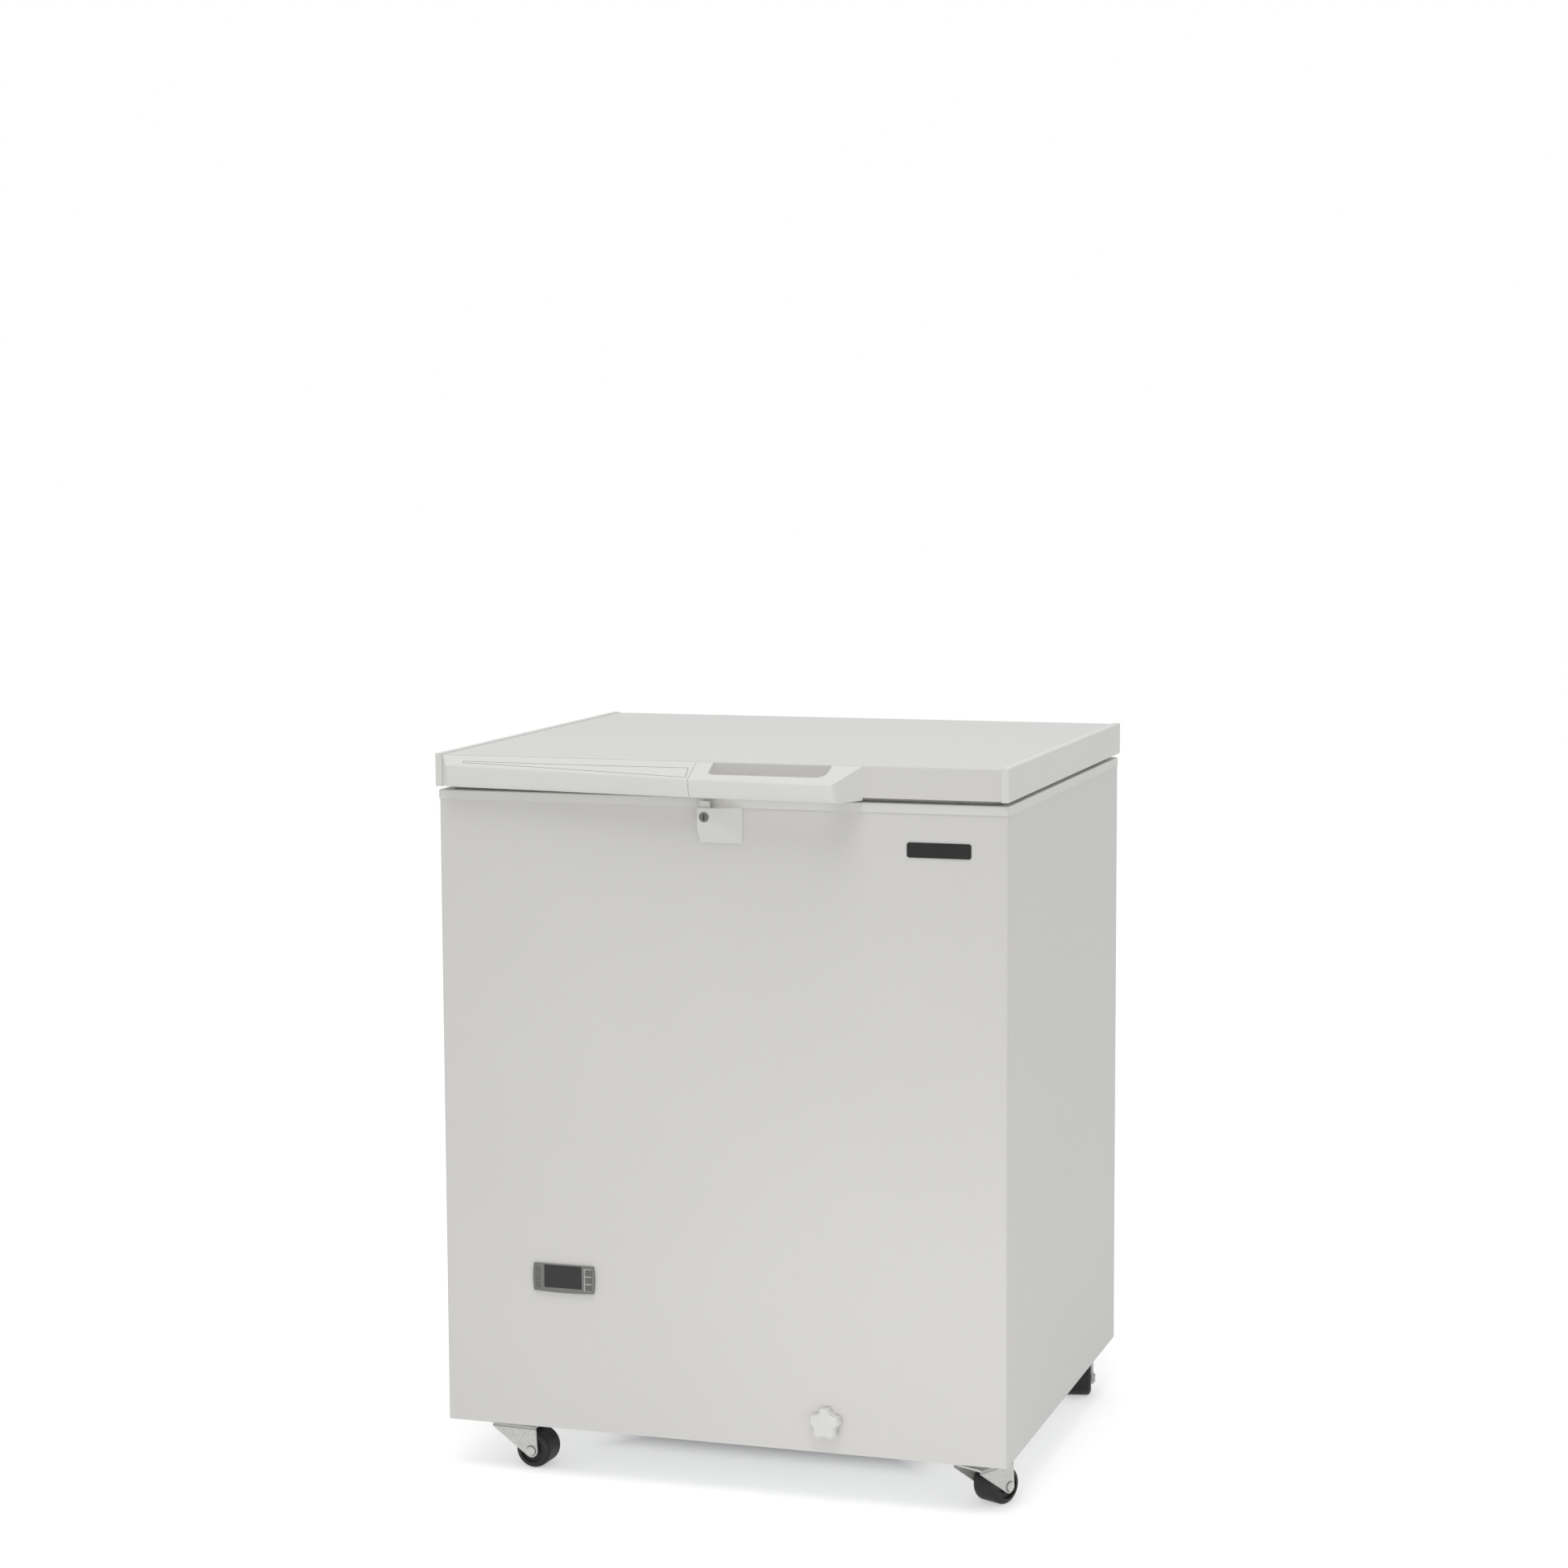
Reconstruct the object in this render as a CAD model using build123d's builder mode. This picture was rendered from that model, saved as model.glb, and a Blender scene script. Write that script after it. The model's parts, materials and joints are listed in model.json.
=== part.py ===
from build123d import *
import os
from math import cos, pi, radians, sin

os.makedirs("parts", exist_ok=True)

# Chest freezer for low temperatures, on four swivel casters, in millimetres.
# X runs to the right seen from the front, Y to the back, Z up. The floor is at Z 0, and the middle
# of the whole outline, from the handle to the hinges, is at X 0 and Y 0.

# Cabinet
cabinet_width = 680.0
cabinet_depth = 576.0
cabinet_height = 740.0
steel_sheet = 1.0
shell_corner_radius = 3.0
foam_clearance = 0.2

# Storage tank and its insulation
insulated_wall = 70.0
insulated_floor = 70.0
step_insulation = 60.0
liner_sheet = 1.0
tank_corner_radius = 4.0

# Compressor compartment, low in the left end
compartment_width = 190.0
compartment_height = 270.0
grille_opening_margin = 12.0
grille_overlap = 8.0
grille_sheet = 1.2
louvre_count = 8
louvre_height = 14.0
louvre_depth = 5.0
vent_slot_length = 60.0
vent_slot_width = 8.0
vent_slot_count = 4

# Plastic frame round the mouth
frame_height = 10.5
frame_overhang = 1.2
frame_wall = 2.5

# Lid
gasket_height = 5.5
gasket_clearance = 0.3
gasket_width = 14.0
gasket_inset = 10.0
lid_thickness = 36.3
lid_front_overhang = 5.4
lid_back_overhang = 6.5
lid_bend_radius = 2.0
lid_liner_sheet = 1.5
plateau_inset = 30.0
plateau_drop = 14.0
plateau_radius = 10.0
trim_width = 8.5
trim_wall = 1.0
trim_outer_wall = 2.0

# Handle, as distances in front of the cabinet and below the top of the lid
handle_left_inset = 7.0
handle_split_x = -21.0
handle_split_gap = 0.5
handle_corner_x = 152.0
handle_end_x = 174.0
handle_left_reach = 23.4
handle_split_reach = 38.5
handle_corner_reach = 52.0
handle_left_slant = 12.5
handle_top_drop = 1.0
handle_left_edge_drop = 10.0
handle_split_edge_drop = 17.4
handle_corner_edge_drop = 18.3
handle_left_bottom = 36.0
handle_split_bottom = 39.2
handle_top_radius = 5.0
handle_bottom_radius = 6.0
handle_corner_radius = 9.0
corner_clearance = 0.02
handle_wall = 2.5
finger_left_x = -1.0
finger_right_x = 139.0
finger_left_bar = 11.0
finger_right_bar = 16.0
finger_left_radius = 6.0
finger_right_radius = 13.0

# Lock
lock_left_x = -18.5
lock_width = 50.0
lock_height = 40.7
lock_plateau_width = 25.5
lock_plateau_height = 22.5
lock_depth = 14.0
lock_lip = 2.0
cylinder_diameter = 11.0
cylinder_from_left = 8.2
cylinder_from_top = 10.3
cylinder_tail_diameter = 5.0
cylinder_fit = 0.08
cylinder_proud = 0.6
key_slot_width = 1.4
key_slot_length = 6.5
key_slot_depth = 2.5
bolt_width = 12.0
bolt_thickness = 3.6
bolt_length = 32.0
bolt_rise = 7.5
bolt_travel = 9.0
bolt_gap = 0.3
bolt_front = 11.0
keeper_gap = 0.8
keeper_depth = 9.0

# Temperature controller in the front of the compartment
controller_from_left = 149.0
controller_z = 181.0
controller_width = 74.0
controller_height = 32.0
controller_proud = 4.0
controller_bow = 1.3
bezel_edge_radius = 0.9
controller_depth = 56.0
controller_cutout_width = 71.0
controller_cutout_height = 29.0
controller_cutout_gap = 0.2
display_width = 46.5
display_height = 26.8
display_from_left = 13.2
display_from_top = 0.6
display_depth = 2.0
key_width = 8.6
key_height = 8.4
key_pitch = 8.8
key_depth = 2.4
key_proud = 0.6
key_travel = 0.6
key_gap = 0.15
key_side_margin = 2.2

# Name plate, bare
plate_width = 74.0
plate_height = 17.0
plate_thickness = 1.2
plate_corner_radius = 3.0
plate_from_right = 79.2
plate_from_top = 41.2

# Drain
drain_from_right = 211.4
drain_z = 36.0
drain_pipe_diameter = 20.0
drain_bore = 14.0
drain_bend_radius = 18.0
drain_inlet_y = 110.0
spout_diameter = 16.0
spout_length = 9.0
drain_flange_diameter = 28.0
drain_flange_thickness = 2.0
knob_radius = 18.5
knob_tip_width = 9.0
knob_lobes = 5
knob_valley_radius = 14.2
knob_depth = 13.0
knob_chamfer = 2.5
knob_fit = 0.1
washer_thickness = 2.0
washer_gap = 0.2

# Lid hinges
hinge_from_side = 120.0
hinge_pin_reach = 20.0
hinge_pin_rise = 4.0
hinge_pin_diameter = 6.0
hinge_fit = 0.05
hinge_ear_radius = 7.0
hinge_sheet = 3.0
hinge_box_width = 32.0
hinge_box_height = 85.0
hinge_plate_width = 60.0
hinge_below_frame = 5.0
hinge_arm_width = 50.0
hinge_arm_height = 26.0
hinge_arm_from_bottom = 2.0
hinge_arm_gap = 0.3
hinge_screw_inset = 7.0
pin_head_diameter = 9.0
pin_head_thickness = 1.5

# Screws
screw_head_diameter = 8.0
screw_head_height = 3.0
screw_shank_diameter = 4.0
screw_clearance = 0.2
screw_head_taper = 18.0

# Casters
wheel_radius = 22.0
wheel_width = 36.0
wheel_shoulder = 6.0
wheel_hub_radius = 9.0
wheel_rim_radius = 15.0
wheel_dish = 3.0
wheel_side_gap = 0.5
axle_diameter = 8.0
axle_fit = 0.05
axle_head_diameter = 11.0
axle_head_thickness = 2.0
fork_sheet = 2.5
fork_headroom = 5.5
fork_half_length = 28.0
fork_toe_radius = 8.0
fork_heel = 5.0
caster_trail = 22.0
race_height = 7.5
race_radius = 17.0
race_gap = 0.3
race_taper = 20.0
kingpin_diameter = 10.0
kingpin_fit = 0.05
kingpin_head_diameter = 16.0
kingpin_head_thickness = 2.0
caster_plate_size = 60.0
caster_plate_thickness = 2.5
caster_plate_radius = 5.0
caster_screw_spacing = 44.0
caster_left_inset = 72.0
caster_right_inset = 40.0
caster_front_inset = 51.0
caster_back_inset = 38.0
swivel_front_left = -4.0
swivel_front_right = 64.0
swivel_rear_left = 205.0
swivel_rear_right = -77.0

# Cooling machine
compressor_width = 118.0
compressor_depth = 150.0
compressor_height = 140.0
compressor_from_back = 276.0
compressor_seam = 3.0
compressor_foot_spread_x = 110.0
compressor_foot_spread_y = 170.0
compressor_foot_sheet = 4.0
mount_height = 14.0
mount_diameter = 22.0
terminal_box = 46.0
terminal_box_rise = 40.0
can_dome_radius = 32.0
stub_diameter = 8.0
stub_length = 12.0
stub_spread = 50.0
condenser_width = 140.0
condenser_height = 180.0
condenser_depth = 36.0
condenser_from_back = 8.0
condenser_sheet = 1.5
fin_count = 18
fin_thickness = 1.2
condenser_tube_diameter = 8.0
condenser_rows = 6
tube_stub = 3.0
fin_lift = 6.0
shroud_sheet = 2.0
fan_diameter = 120.0
fan_tip_gap = 4.0
fan_hub_diameter = 34.0
fan_depth = 14.0
fan_blade_count = 5
fan_blade_thickness = 2.0
fan_root_chord = 18.0
fan_root_pitch = 40.0
fan_tip_chord = 32.0
fan_tip_pitch = 22.0
fan_gap = 3.0
motor_diameter = 56.0
motor_length = 40.0
motor_shaft_diameter = 6.0
shaft_fit = 0.05
motor_arm_width = 8.0
arm_thickness = 4.0
motor_clamp_gap = 0.1
pipe_diameter = 6.0
pipe_bend_radius = 7.0
pipe_lane = 12.0
pipe_rise = 30.0
liquid_line_forward = 60.0
drier_diameter = 18.0
drier_length = 60.0
coil_diameter = 8.0
coil_turns = 5
coil_pitch = 62.0
coil_from_top = 340.0
coil_bend_radius = 8.0

# Places that follow from the sizes above
caster_height = 2 * wheel_radius + fork_headroom + fork_sheet + race_height + caster_plate_thickness
base_z = caster_height
hinge_reach = hinge_pin_reach + hinge_ear_radius
front_y = (handle_corner_reach - cabinet_depth - hinge_reach) / 2
back_y = front_y + cabinet_depth
middle_y = (front_y + back_y) / 2
half_width = cabinet_width / 2
frame_z = base_z + cabinet_height
frame_top_z = frame_z + frame_height
lid_z = frame_top_z + gasket_height
lid_top_z = lid_z + lid_thickness
lid_front_y = front_y - lid_front_overhang
lid_back_y = back_y + lid_back_overhang
lid_depth = lid_back_y - lid_front_y
lid_middle_y = (lid_front_y + lid_back_y) / 2
tank_half = half_width - insulated_wall
tank_depth = cabinet_depth - 2 * insulated_wall
compartment_x = -half_width + compartment_width
compartment_middle_x = -half_width + compartment_width / 2
step_x = compartment_x + step_insulation
step_z = compartment_height + step_insulation


def keep(piece, name):
    """Label a finished piece and write it to its own file."""
    piece.label = name
    export_step(piece, f"parts/{name}.step")


def upright(depth, x=0.0, z=0.0):
    """A plane facing the front, some way behind the cabinet's front, with X right and Z up."""
    return Plane(origin=(x, front_y + depth, base_z + z), x_dir=(1, 0, 0), z_dir=(0, -1, 0))


def end_on(x):
    """A plane facing the right end, with Y to the back and Z up."""
    return Plane(origin=(x, 0, 0), x_dir=(0, 1, 0), z_dir=(1, 0, 0))


def tank_block(grow, height):
    """The stepped storage space as a solid, grown on every closed side."""
    half = tank_half + grow
    floor = insulated_floor - grow
    with BuildPart() as block:
        with BuildSketch(upright(insulated_wall - grow)):
            with BuildLine():
                Polyline(
                    (-half, height),
                    (half, height),
                    (half, floor),
                    (step_x - grow, floor),
                    (step_x - grow, step_z - grow),
                    (-half, step_z - grow),
                    close=True,
                )
            make_face()
        extrude(amount=-(tank_depth + 2 * grow))
        fillet(block.edges().filter_by(Axis.Z), tank_corner_radius + grow)
    return block.part


# Drain, from the tank floor down and forward through the front
drain_x = half_width - drain_from_right


def drain_tube(diameter, past_front):
    """A solid rod along the drain, to some way past the front of the cabinet."""
    with BuildPart() as rod:
        with BuildLine() as route:
            FilletPolyline(
                (drain_x, front_y + drain_inlet_y, base_z + insulated_floor - liner_sheet),
                (drain_x, front_y + drain_inlet_y, base_z + drain_z),
                (drain_x, front_y - past_front, base_z + drain_z),
                radius=drain_bend_radius,
            )
        with BuildSketch(Plane(origin=route.wire() @ 0, z_dir=route.wire() % 0)):
            Circle(diameter / 2)
        sweep(path=route.wire())
    return rod.part


# Evaporator route, a coil of straight runs wound round the upper part of the tank
coil_offset = liner_sheet + foam_clearance + coil_diameter / 2
coil_half_x = tank_half + coil_offset
coil_half_y = tank_depth / 2 + coil_offset
coil_corners = [(1, 1), (-1, 1), (-1, -1), (1, -1)]
coil_points = [
    (
        coil_corners[turn % 4][0] * coil_half_x,
        middle_y + coil_corners[turn % 4][1] * coil_half_y,
        base_z + cabinet_height - coil_from_top + coil_pitch * turn / 4,
    )
    for turn in range(4 * coil_turns)
]
with BuildLine() as coil_route:
    FilletPolyline(*coil_points, radius=coil_bend_radius)


def coil_tube(diameter):
    """A solid rod along the evaporator route."""
    with BuildPart() as rod:
        with BuildSketch(Plane(origin=coil_route.wire() @ 0, z_dir=coil_route.wire() % 0)):
            Circle(diameter / 2)
        sweep(path=coil_route.wire())
    return rod.part


# Outer shell: front and both sides in one wrap of painted sheet
controller_x = -half_width + controller_from_left
with BuildPart() as outer_shell:
    with BuildSketch(Plane.XY.offset(base_z)) as wrap_outside:
        with Locations((0, middle_y)):
            Rectangle(cabinet_width, cabinet_depth)
        fillet(wrap_outside.vertices().group_by(Axis.Y)[0], shell_corner_radius)
    extrude(amount=cabinet_height)
    with BuildSketch(Plane.XY.offset(base_z)) as wrap_inside:
        with Locations((0, middle_y + steel_sheet)):
            Rectangle(cabinet_width - 2 * steel_sheet, cabinet_depth)
        fillet(wrap_inside.vertices().group_by(Axis.Y)[0], shell_corner_radius - steel_sheet)
    extrude(amount=cabinet_height, mode=Mode.SUBTRACT)
    with BuildSketch(upright(0)):
        with Locations((controller_x, controller_z)):
            Rectangle(controller_cutout_width, controller_cutout_height)
        with Locations((drain_x, drain_z)):
            Circle(drain_pipe_diameter / 2 + foam_clearance)
    extrude(amount=-2 * steel_sheet, mode=Mode.SUBTRACT)
keep(outer_shell.part, "outer_shell")

# Back panel, open behind the compressor compartment
opening_width = compartment_width - 2 * grille_opening_margin
opening_height = compartment_height - 2 * grille_opening_margin
opening_z = compartment_height / 2
with BuildPart() as back_panel:
    with BuildSketch(upright(cabinet_depth - steel_sheet)):
        with Locations((0, cabinet_height / 2)):
            Rectangle(cabinet_width - 2 * steel_sheet, cabinet_height)
        with Locations((compartment_middle_x, opening_z)):
            Rectangle(opening_width, opening_height, mode=Mode.SUBTRACT)
    extrude(amount=-steel_sheet)
keep(back_panel.part, "back_panel")

# Base panel, with air slots under the compartment
with BuildPart() as base_panel:
    with BuildSketch(Plane.XY.offset(base_z)):
        with Locations((0, middle_y)):
            Rectangle(cabinet_width - 2 * steel_sheet, cabinet_depth - 2 * steel_sheet)
        with Locations((compartment_middle_x, back_y - compressor_from_back)):
            with GridLocations(0, 2 * vent_slot_width, 1, vent_slot_count):
                SlotOverall(vent_slot_length, vent_slot_width, mode=Mode.SUBTRACT)
    extrude(amount=steel_sheet)
    fillet(base_panel.edges().filter_by(Axis.Z).group_by(Axis.Y)[0], shell_corner_radius - steel_sheet)
keep(base_panel.part, "base_panel")

# Sheet lining between the compartment and the foam
with BuildPart() as compartment_lining:
    with BuildSketch(upright(shell_corner_radius)):
        with BuildLine():
            Polyline(
                (-half_width + steel_sheet, compartment_height),
                (compartment_x, compartment_height),
                (compartment_x, steel_sheet),
                (compartment_x + steel_sheet, steel_sheet),
                (compartment_x + steel_sheet, compartment_height + steel_sheet),
                (-half_width + steel_sheet, compartment_height + steel_sheet),
                close=True,
            )
        make_face()
    extrude(amount=-(cabinet_depth - shell_corner_radius - steel_sheet))
keep(compartment_lining.part, "compartment_lining")

# Foam that fills the walls round the tank, with channels for the coil and the drain
foam_skin = steel_sheet + foam_clearance
tank_in_foam = tank_block(liner_sheet + foam_clearance, cabinet_height)
drain_in_foam = drain_tube(drain_pipe_diameter + 2 * foam_clearance, spout_length)
coil_in_foam = coil_tube(coil_diameter + 2 * foam_clearance)
with BuildPart() as cabinet_insulation:
    with BuildSketch(upright(foam_skin)):
        with BuildLine():
            Polyline(
                (-half_width + foam_skin, cabinet_height - foam_clearance),
                (half_width - foam_skin, cabinet_height - foam_clearance),
                (half_width - foam_skin, foam_skin),
                (compartment_x + foam_skin, foam_skin),
                (compartment_x + foam_skin, compartment_height + foam_skin),
                (-half_width + foam_skin, compartment_height + foam_skin),
                close=True,
            )
        make_face()
    extrude(amount=-(cabinet_depth - 2 * foam_skin))
    front_corners = cabinet_insulation.edges().filter_by(Axis.Z).group_by(Axis.Y)[0]
    fillet(front_corners, shell_corner_radius)
    add(tank_in_foam, mode=Mode.SUBTRACT)
    add(drain_in_foam, mode=Mode.SUBTRACT)
    add(coil_in_foam, mode=Mode.SUBTRACT)
keep(cabinet_insulation.part, "cabinet_insulation")

# Stepped tank of folded aluminium sheet, with the drain hole in its floor
tank_outside = tank_block(liner_sheet, cabinet_height)
tank_inside = tank_block(0, cabinet_height)
with BuildPart() as inner_liner:
    add(tank_outside)
    add(tank_inside, mode=Mode.SUBTRACT)
    with BuildSketch(Plane.XY.offset(base_z + insulated_floor)):
        with Locations((drain_x, front_y + drain_inlet_y)):
            Circle(drain_bore / 2)
    extrude(amount=-2 * liner_sheet, mode=Mode.SUBTRACT)
keep(inner_liner.part, "inner_liner")

# Evaporator coil against the outside of the tank
evaporator_rod = coil_tube(coil_diameter)
with BuildPart() as evaporator_coil:
    add(evaporator_rod)
keep(evaporator_coil.part, "evaporator_coil")

# Moulded frame round the mouth, hollow from below
with BuildPart() as top_frame:
    with BuildSketch(Plane.XY.offset(frame_z)):
        with Locations((0, middle_y)):
            RectangleRounded(
                cabinet_width + 2 * frame_overhang,
                cabinet_depth + 2 * frame_overhang,
                shell_corner_radius + frame_overhang,
            )
            RectangleRounded(2 * tank_half, tank_depth, tank_corner_radius, mode=Mode.SUBTRACT)
    extrude(amount=frame_height)
    with BuildSketch(Plane.XY.offset(frame_z)):
        with Locations((0, middle_y)):
            RectangleRounded(
                cabinet_width - 2 * frame_wall,
                cabinet_depth - 2 * frame_wall,
                shell_corner_radius,
            )
            RectangleRounded(
                2 * (tank_half + frame_wall),
                tank_depth + 2 * frame_wall,
                tank_corner_radius + frame_wall,
                mode=Mode.SUBTRACT,
            )
    extrude(amount=frame_height - frame_wall, mode=Mode.SUBTRACT)
    fillet(top_frame.faces().sort_by(Axis.Z)[-1].outer_wire().edges(), frame_overhang)
keep(top_frame.part, "top_frame")

# Rear grille: a plate over the compartment with pressed louvres
grille_width = opening_width + 2 * grille_overlap
grille_height = opening_height + 2 * grille_overlap
louvre_pitch = opening_height / louvre_count
with BuildPart() as rear_grille:
    with BuildSketch(upright(cabinet_depth, compartment_middle_x, opening_z)):
        Rectangle(grille_width, grille_height)
    extrude(amount=-grille_sheet)
    with BuildSketch(upright(cabinet_depth, compartment_middle_x, opening_z)):
        with GridLocations(0, louvre_pitch, 1, louvre_count):
            Rectangle(opening_width - 2 * grille_overlap, louvre_height)
    extrude(amount=-grille_sheet, mode=Mode.SUBTRACT)
    with BuildSketch(end_on(compartment_middle_x)):
        for row in range(louvre_count):
            slat_z = base_z + opening_z + (row - (louvre_count - 1) / 2) * louvre_pitch
            slat_top = slat_z + louvre_height / 2
            with BuildLine():
                Polyline(
                    (back_y + grille_sheet, slat_top),
                    (back_y, slat_top),
                    (back_y + louvre_depth - grille_sheet, slat_top - louvre_height),
                    (back_y + louvre_depth, slat_top - louvre_height),
                    close=True,
                )
            make_face()
    extrude(amount=(opening_width - 2 * grille_overlap) / 2, both=True)
    with BuildSketch(upright(cabinet_depth, compartment_middle_x, opening_z)):
        with GridLocations(grille_width - grille_overlap, grille_height - grille_overlap, 2, 2):
            Circle(screw_shank_diameter / 2 + screw_clearance)
    extrude(amount=-grille_sheet, mode=Mode.SUBTRACT)
keep(rear_grille.part, "rear_grille")

# Lid skin: a shallow pan of painted sheet, folded down on all sides
with BuildPart() as lid_skin:
    with BuildSketch(Plane.XY.offset(lid_z)):
        with Locations((0, lid_middle_y)):
            Rectangle(cabinet_width, lid_depth)
    extrude(amount=lid_thickness)
    fillet(lid_skin.faces().sort_by(Axis.Z)[-1].outer_wire().edges().filter_by(Axis.X), lid_bend_radius)
    with BuildSketch(Plane.XY.offset(lid_z)):
        with Locations((0, lid_middle_y)):
            Rectangle(cabinet_width - 2 * steel_sheet, lid_depth - 2 * steel_sheet)
    extrude(amount=lid_thickness - steel_sheet, mode=Mode.SUBTRACT)
keep(lid_skin.part, "lid_skin")

# Inner face of the lid, formed sheet with a plateau that reaches into the mouth
plateau_width = 2 * (tank_half - plateau_inset)
plateau_depth = tank_depth - 2 * plateau_inset
with BuildPart() as lid_liner:
    with BuildSketch(Plane.XY.offset(lid_z)):
        with Locations((0, lid_middle_y)):
            Rectangle(cabinet_width - 2 * steel_sheet, lid_depth - 2 * steel_sheet)
    extrude(amount=lid_liner_sheet)
    with BuildSketch(Plane.XY.offset(lid_z)):
        with Locations((0, middle_y)):
            RectangleRounded(plateau_width, plateau_depth, plateau_radius)
    extrude(amount=-plateau_drop, taper=8)
    with BuildSketch(Plane.XY.offset(lid_z + lid_liner_sheet)):
        with Locations((0, middle_y)):
            RectangleRounded(
                plateau_width - 2 * lid_liner_sheet,
                plateau_depth - 2 * lid_liner_sheet,
                plateau_radius - lid_liner_sheet,
            )
    extrude(amount=-plateau_drop, taper=8, mode=Mode.SUBTRACT)
keep(lid_liner.part, "lid_liner")

# Foam inside the lid
lid_foam_z = lid_z + lid_liner_sheet + foam_clearance
lid_foam_top_z = lid_top_z - steel_sheet - foam_clearance
with BuildPart() as lid_insulation:
    with BuildSketch(Plane.XY.offset(lid_foam_z)):
        with Locations((0, lid_middle_y)):
            Rectangle(cabinet_width - 2 * foam_skin, lid_depth - 2 * foam_skin)
    extrude(amount=lid_foam_top_z - lid_foam_z)
keep(lid_insulation.part, "lid_insulation")

# Gasket under the lid, clear of the frame by a hair
with BuildPart() as lid_gasket:
    with BuildSketch(Plane.XY.offset(frame_top_z + gasket_clearance)):
        with Locations((0, middle_y)):
            RectangleRounded(
                cabinet_width - 2 * gasket_inset,
                cabinet_depth - 2 * gasket_inset,
                gasket_width,
            )
            RectangleRounded(
                cabinet_width - 2 * (gasket_inset + gasket_width),
                cabinet_depth - 2 * (gasket_inset + gasket_width),
                gasket_width / 2,
                mode=Mode.SUBTRACT,
            )
    extrude(amount=gasket_height - gasket_clearance)
    gasket_lips = lid_gasket.edges().group_by(Axis.Z)[0]
    chamfer(gasket_lips, gasket_height / 4)
keep(lid_gasket.part, "lid_gasket")

# Plastic end trims that cap the two ends of the lid
trim_x = half_width + trim_outer_wall
for side, side_name in ((-1, "left"), (1, "right")):
    with BuildPart() as lid_trim:
        with BuildSketch(Plane.XY.offset(lid_z - trim_wall)):
            with Locations((side * (trim_x - trim_width / 2), lid_middle_y)):
                Rectangle(trim_width, lid_depth + 2 * trim_wall)
        extrude(amount=lid_thickness + 2 * trim_wall)
        outer_edges = lid_trim.faces().sort_by(Axis.X)[0 if side < 0 else -1].edges()
        fillet(outer_edges, trim_wall)
        with BuildSketch(Plane.XY.offset(lid_z)):
            with Locations((0, lid_middle_y)):
                Rectangle(cabinet_width, lid_depth)
        extrude(amount=lid_thickness, mode=Mode.SUBTRACT)
    keep(lid_trim.part, f"lid_trim_{side_name}")


def handle_section(x, wall, reach, edge_drop, bottom_drop):
    """Cross-section of the handle at x, or of its hollow inside a wall: flat bottom, sloping top."""
    with BuildSketch(end_on(x)) as section:
        with BuildLine():
            Polyline(
                (lid_front_y, lid_top_z - bottom_drop + wall),
                (front_y - reach + wall, lid_top_z - bottom_drop + wall),
                (front_y - reach + wall, lid_top_z - edge_drop - wall),
                (lid_front_y, lid_top_z - handle_top_drop - wall),
                close=True,
            )
        make_face()
        upper = section.vertices().group_by(Axis.X)[0].sort_by(Axis.Y)[-1]
        fillet(upper, handle_top_radius - wall)
        lower = section.vertices().group_by(Axis.X)[0].sort_by(Axis.Y)[0]
        fillet(lower, handle_bottom_radius - wall)
    return section.sketch


def beside(x0, y0, x1, y1, past):
    """The point a little past the end of a line from 0 to 1."""
    return (x1 + past * (x1 - x0), y1 + past * (y1 - y0))


# Long handle cover, a hollow moulding open towards the lid, with a slanted left end
handle_left_x = -half_width + handle_left_inset
cover_nose_x = handle_left_x + handle_left_slant
cover_nose_y = front_y - handle_left_reach
cover_end_x = handle_split_x - handle_split_gap
cover_cut = beside(handle_left_x, lid_front_y, cover_nose_x, cover_nose_y, 1)
with BuildPart() as handle_cover:
    add(handle_section(handle_left_x, 0, handle_left_reach, handle_left_edge_drop, handle_left_bottom))
    add(handle_section(cover_end_x, 0, handle_split_reach, handle_split_edge_drop, handle_split_bottom))
    loft(ruled=True)
    with BuildSketch(Plane.XY.offset(lid_top_z)):
        with BuildLine():
            Polyline(
                (handle_left_x, lid_front_y),
                cover_cut,
                (handle_left_x, cover_cut[1]),
                close=True,
            )
        make_face()
    extrude(amount=-2 * lid_thickness, mode=Mode.SUBTRACT)
    add(
        handle_section(
            cover_nose_x + handle_wall,
            handle_wall,
            handle_left_reach,
            handle_left_edge_drop,
            handle_left_bottom,
        )
    )
    add(
        handle_section(
            cover_end_x - handle_wall,
            handle_wall,
            handle_split_reach,
            handle_split_edge_drop,
            handle_split_bottom,
        )
    )
    loft(ruled=True, mode=Mode.SUBTRACT)
keep(handle_cover.part, "handle_cover")

# Handle grip, with the finger opening behind its bar and a keeper pocket for the lock bolt
bar_slope = (handle_corner_reach - handle_split_reach) / (handle_corner_x - handle_split_x)
handle_end_reach = handle_corner_reach + bar_slope * (handle_end_x - handle_corner_x)
bolt_x = lock_left_x + cylinder_from_left


def bar_reach(x):
    """How far the front of the grip stands out at x."""
    return handle_split_reach + bar_slope * (x - handle_split_x)


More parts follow.
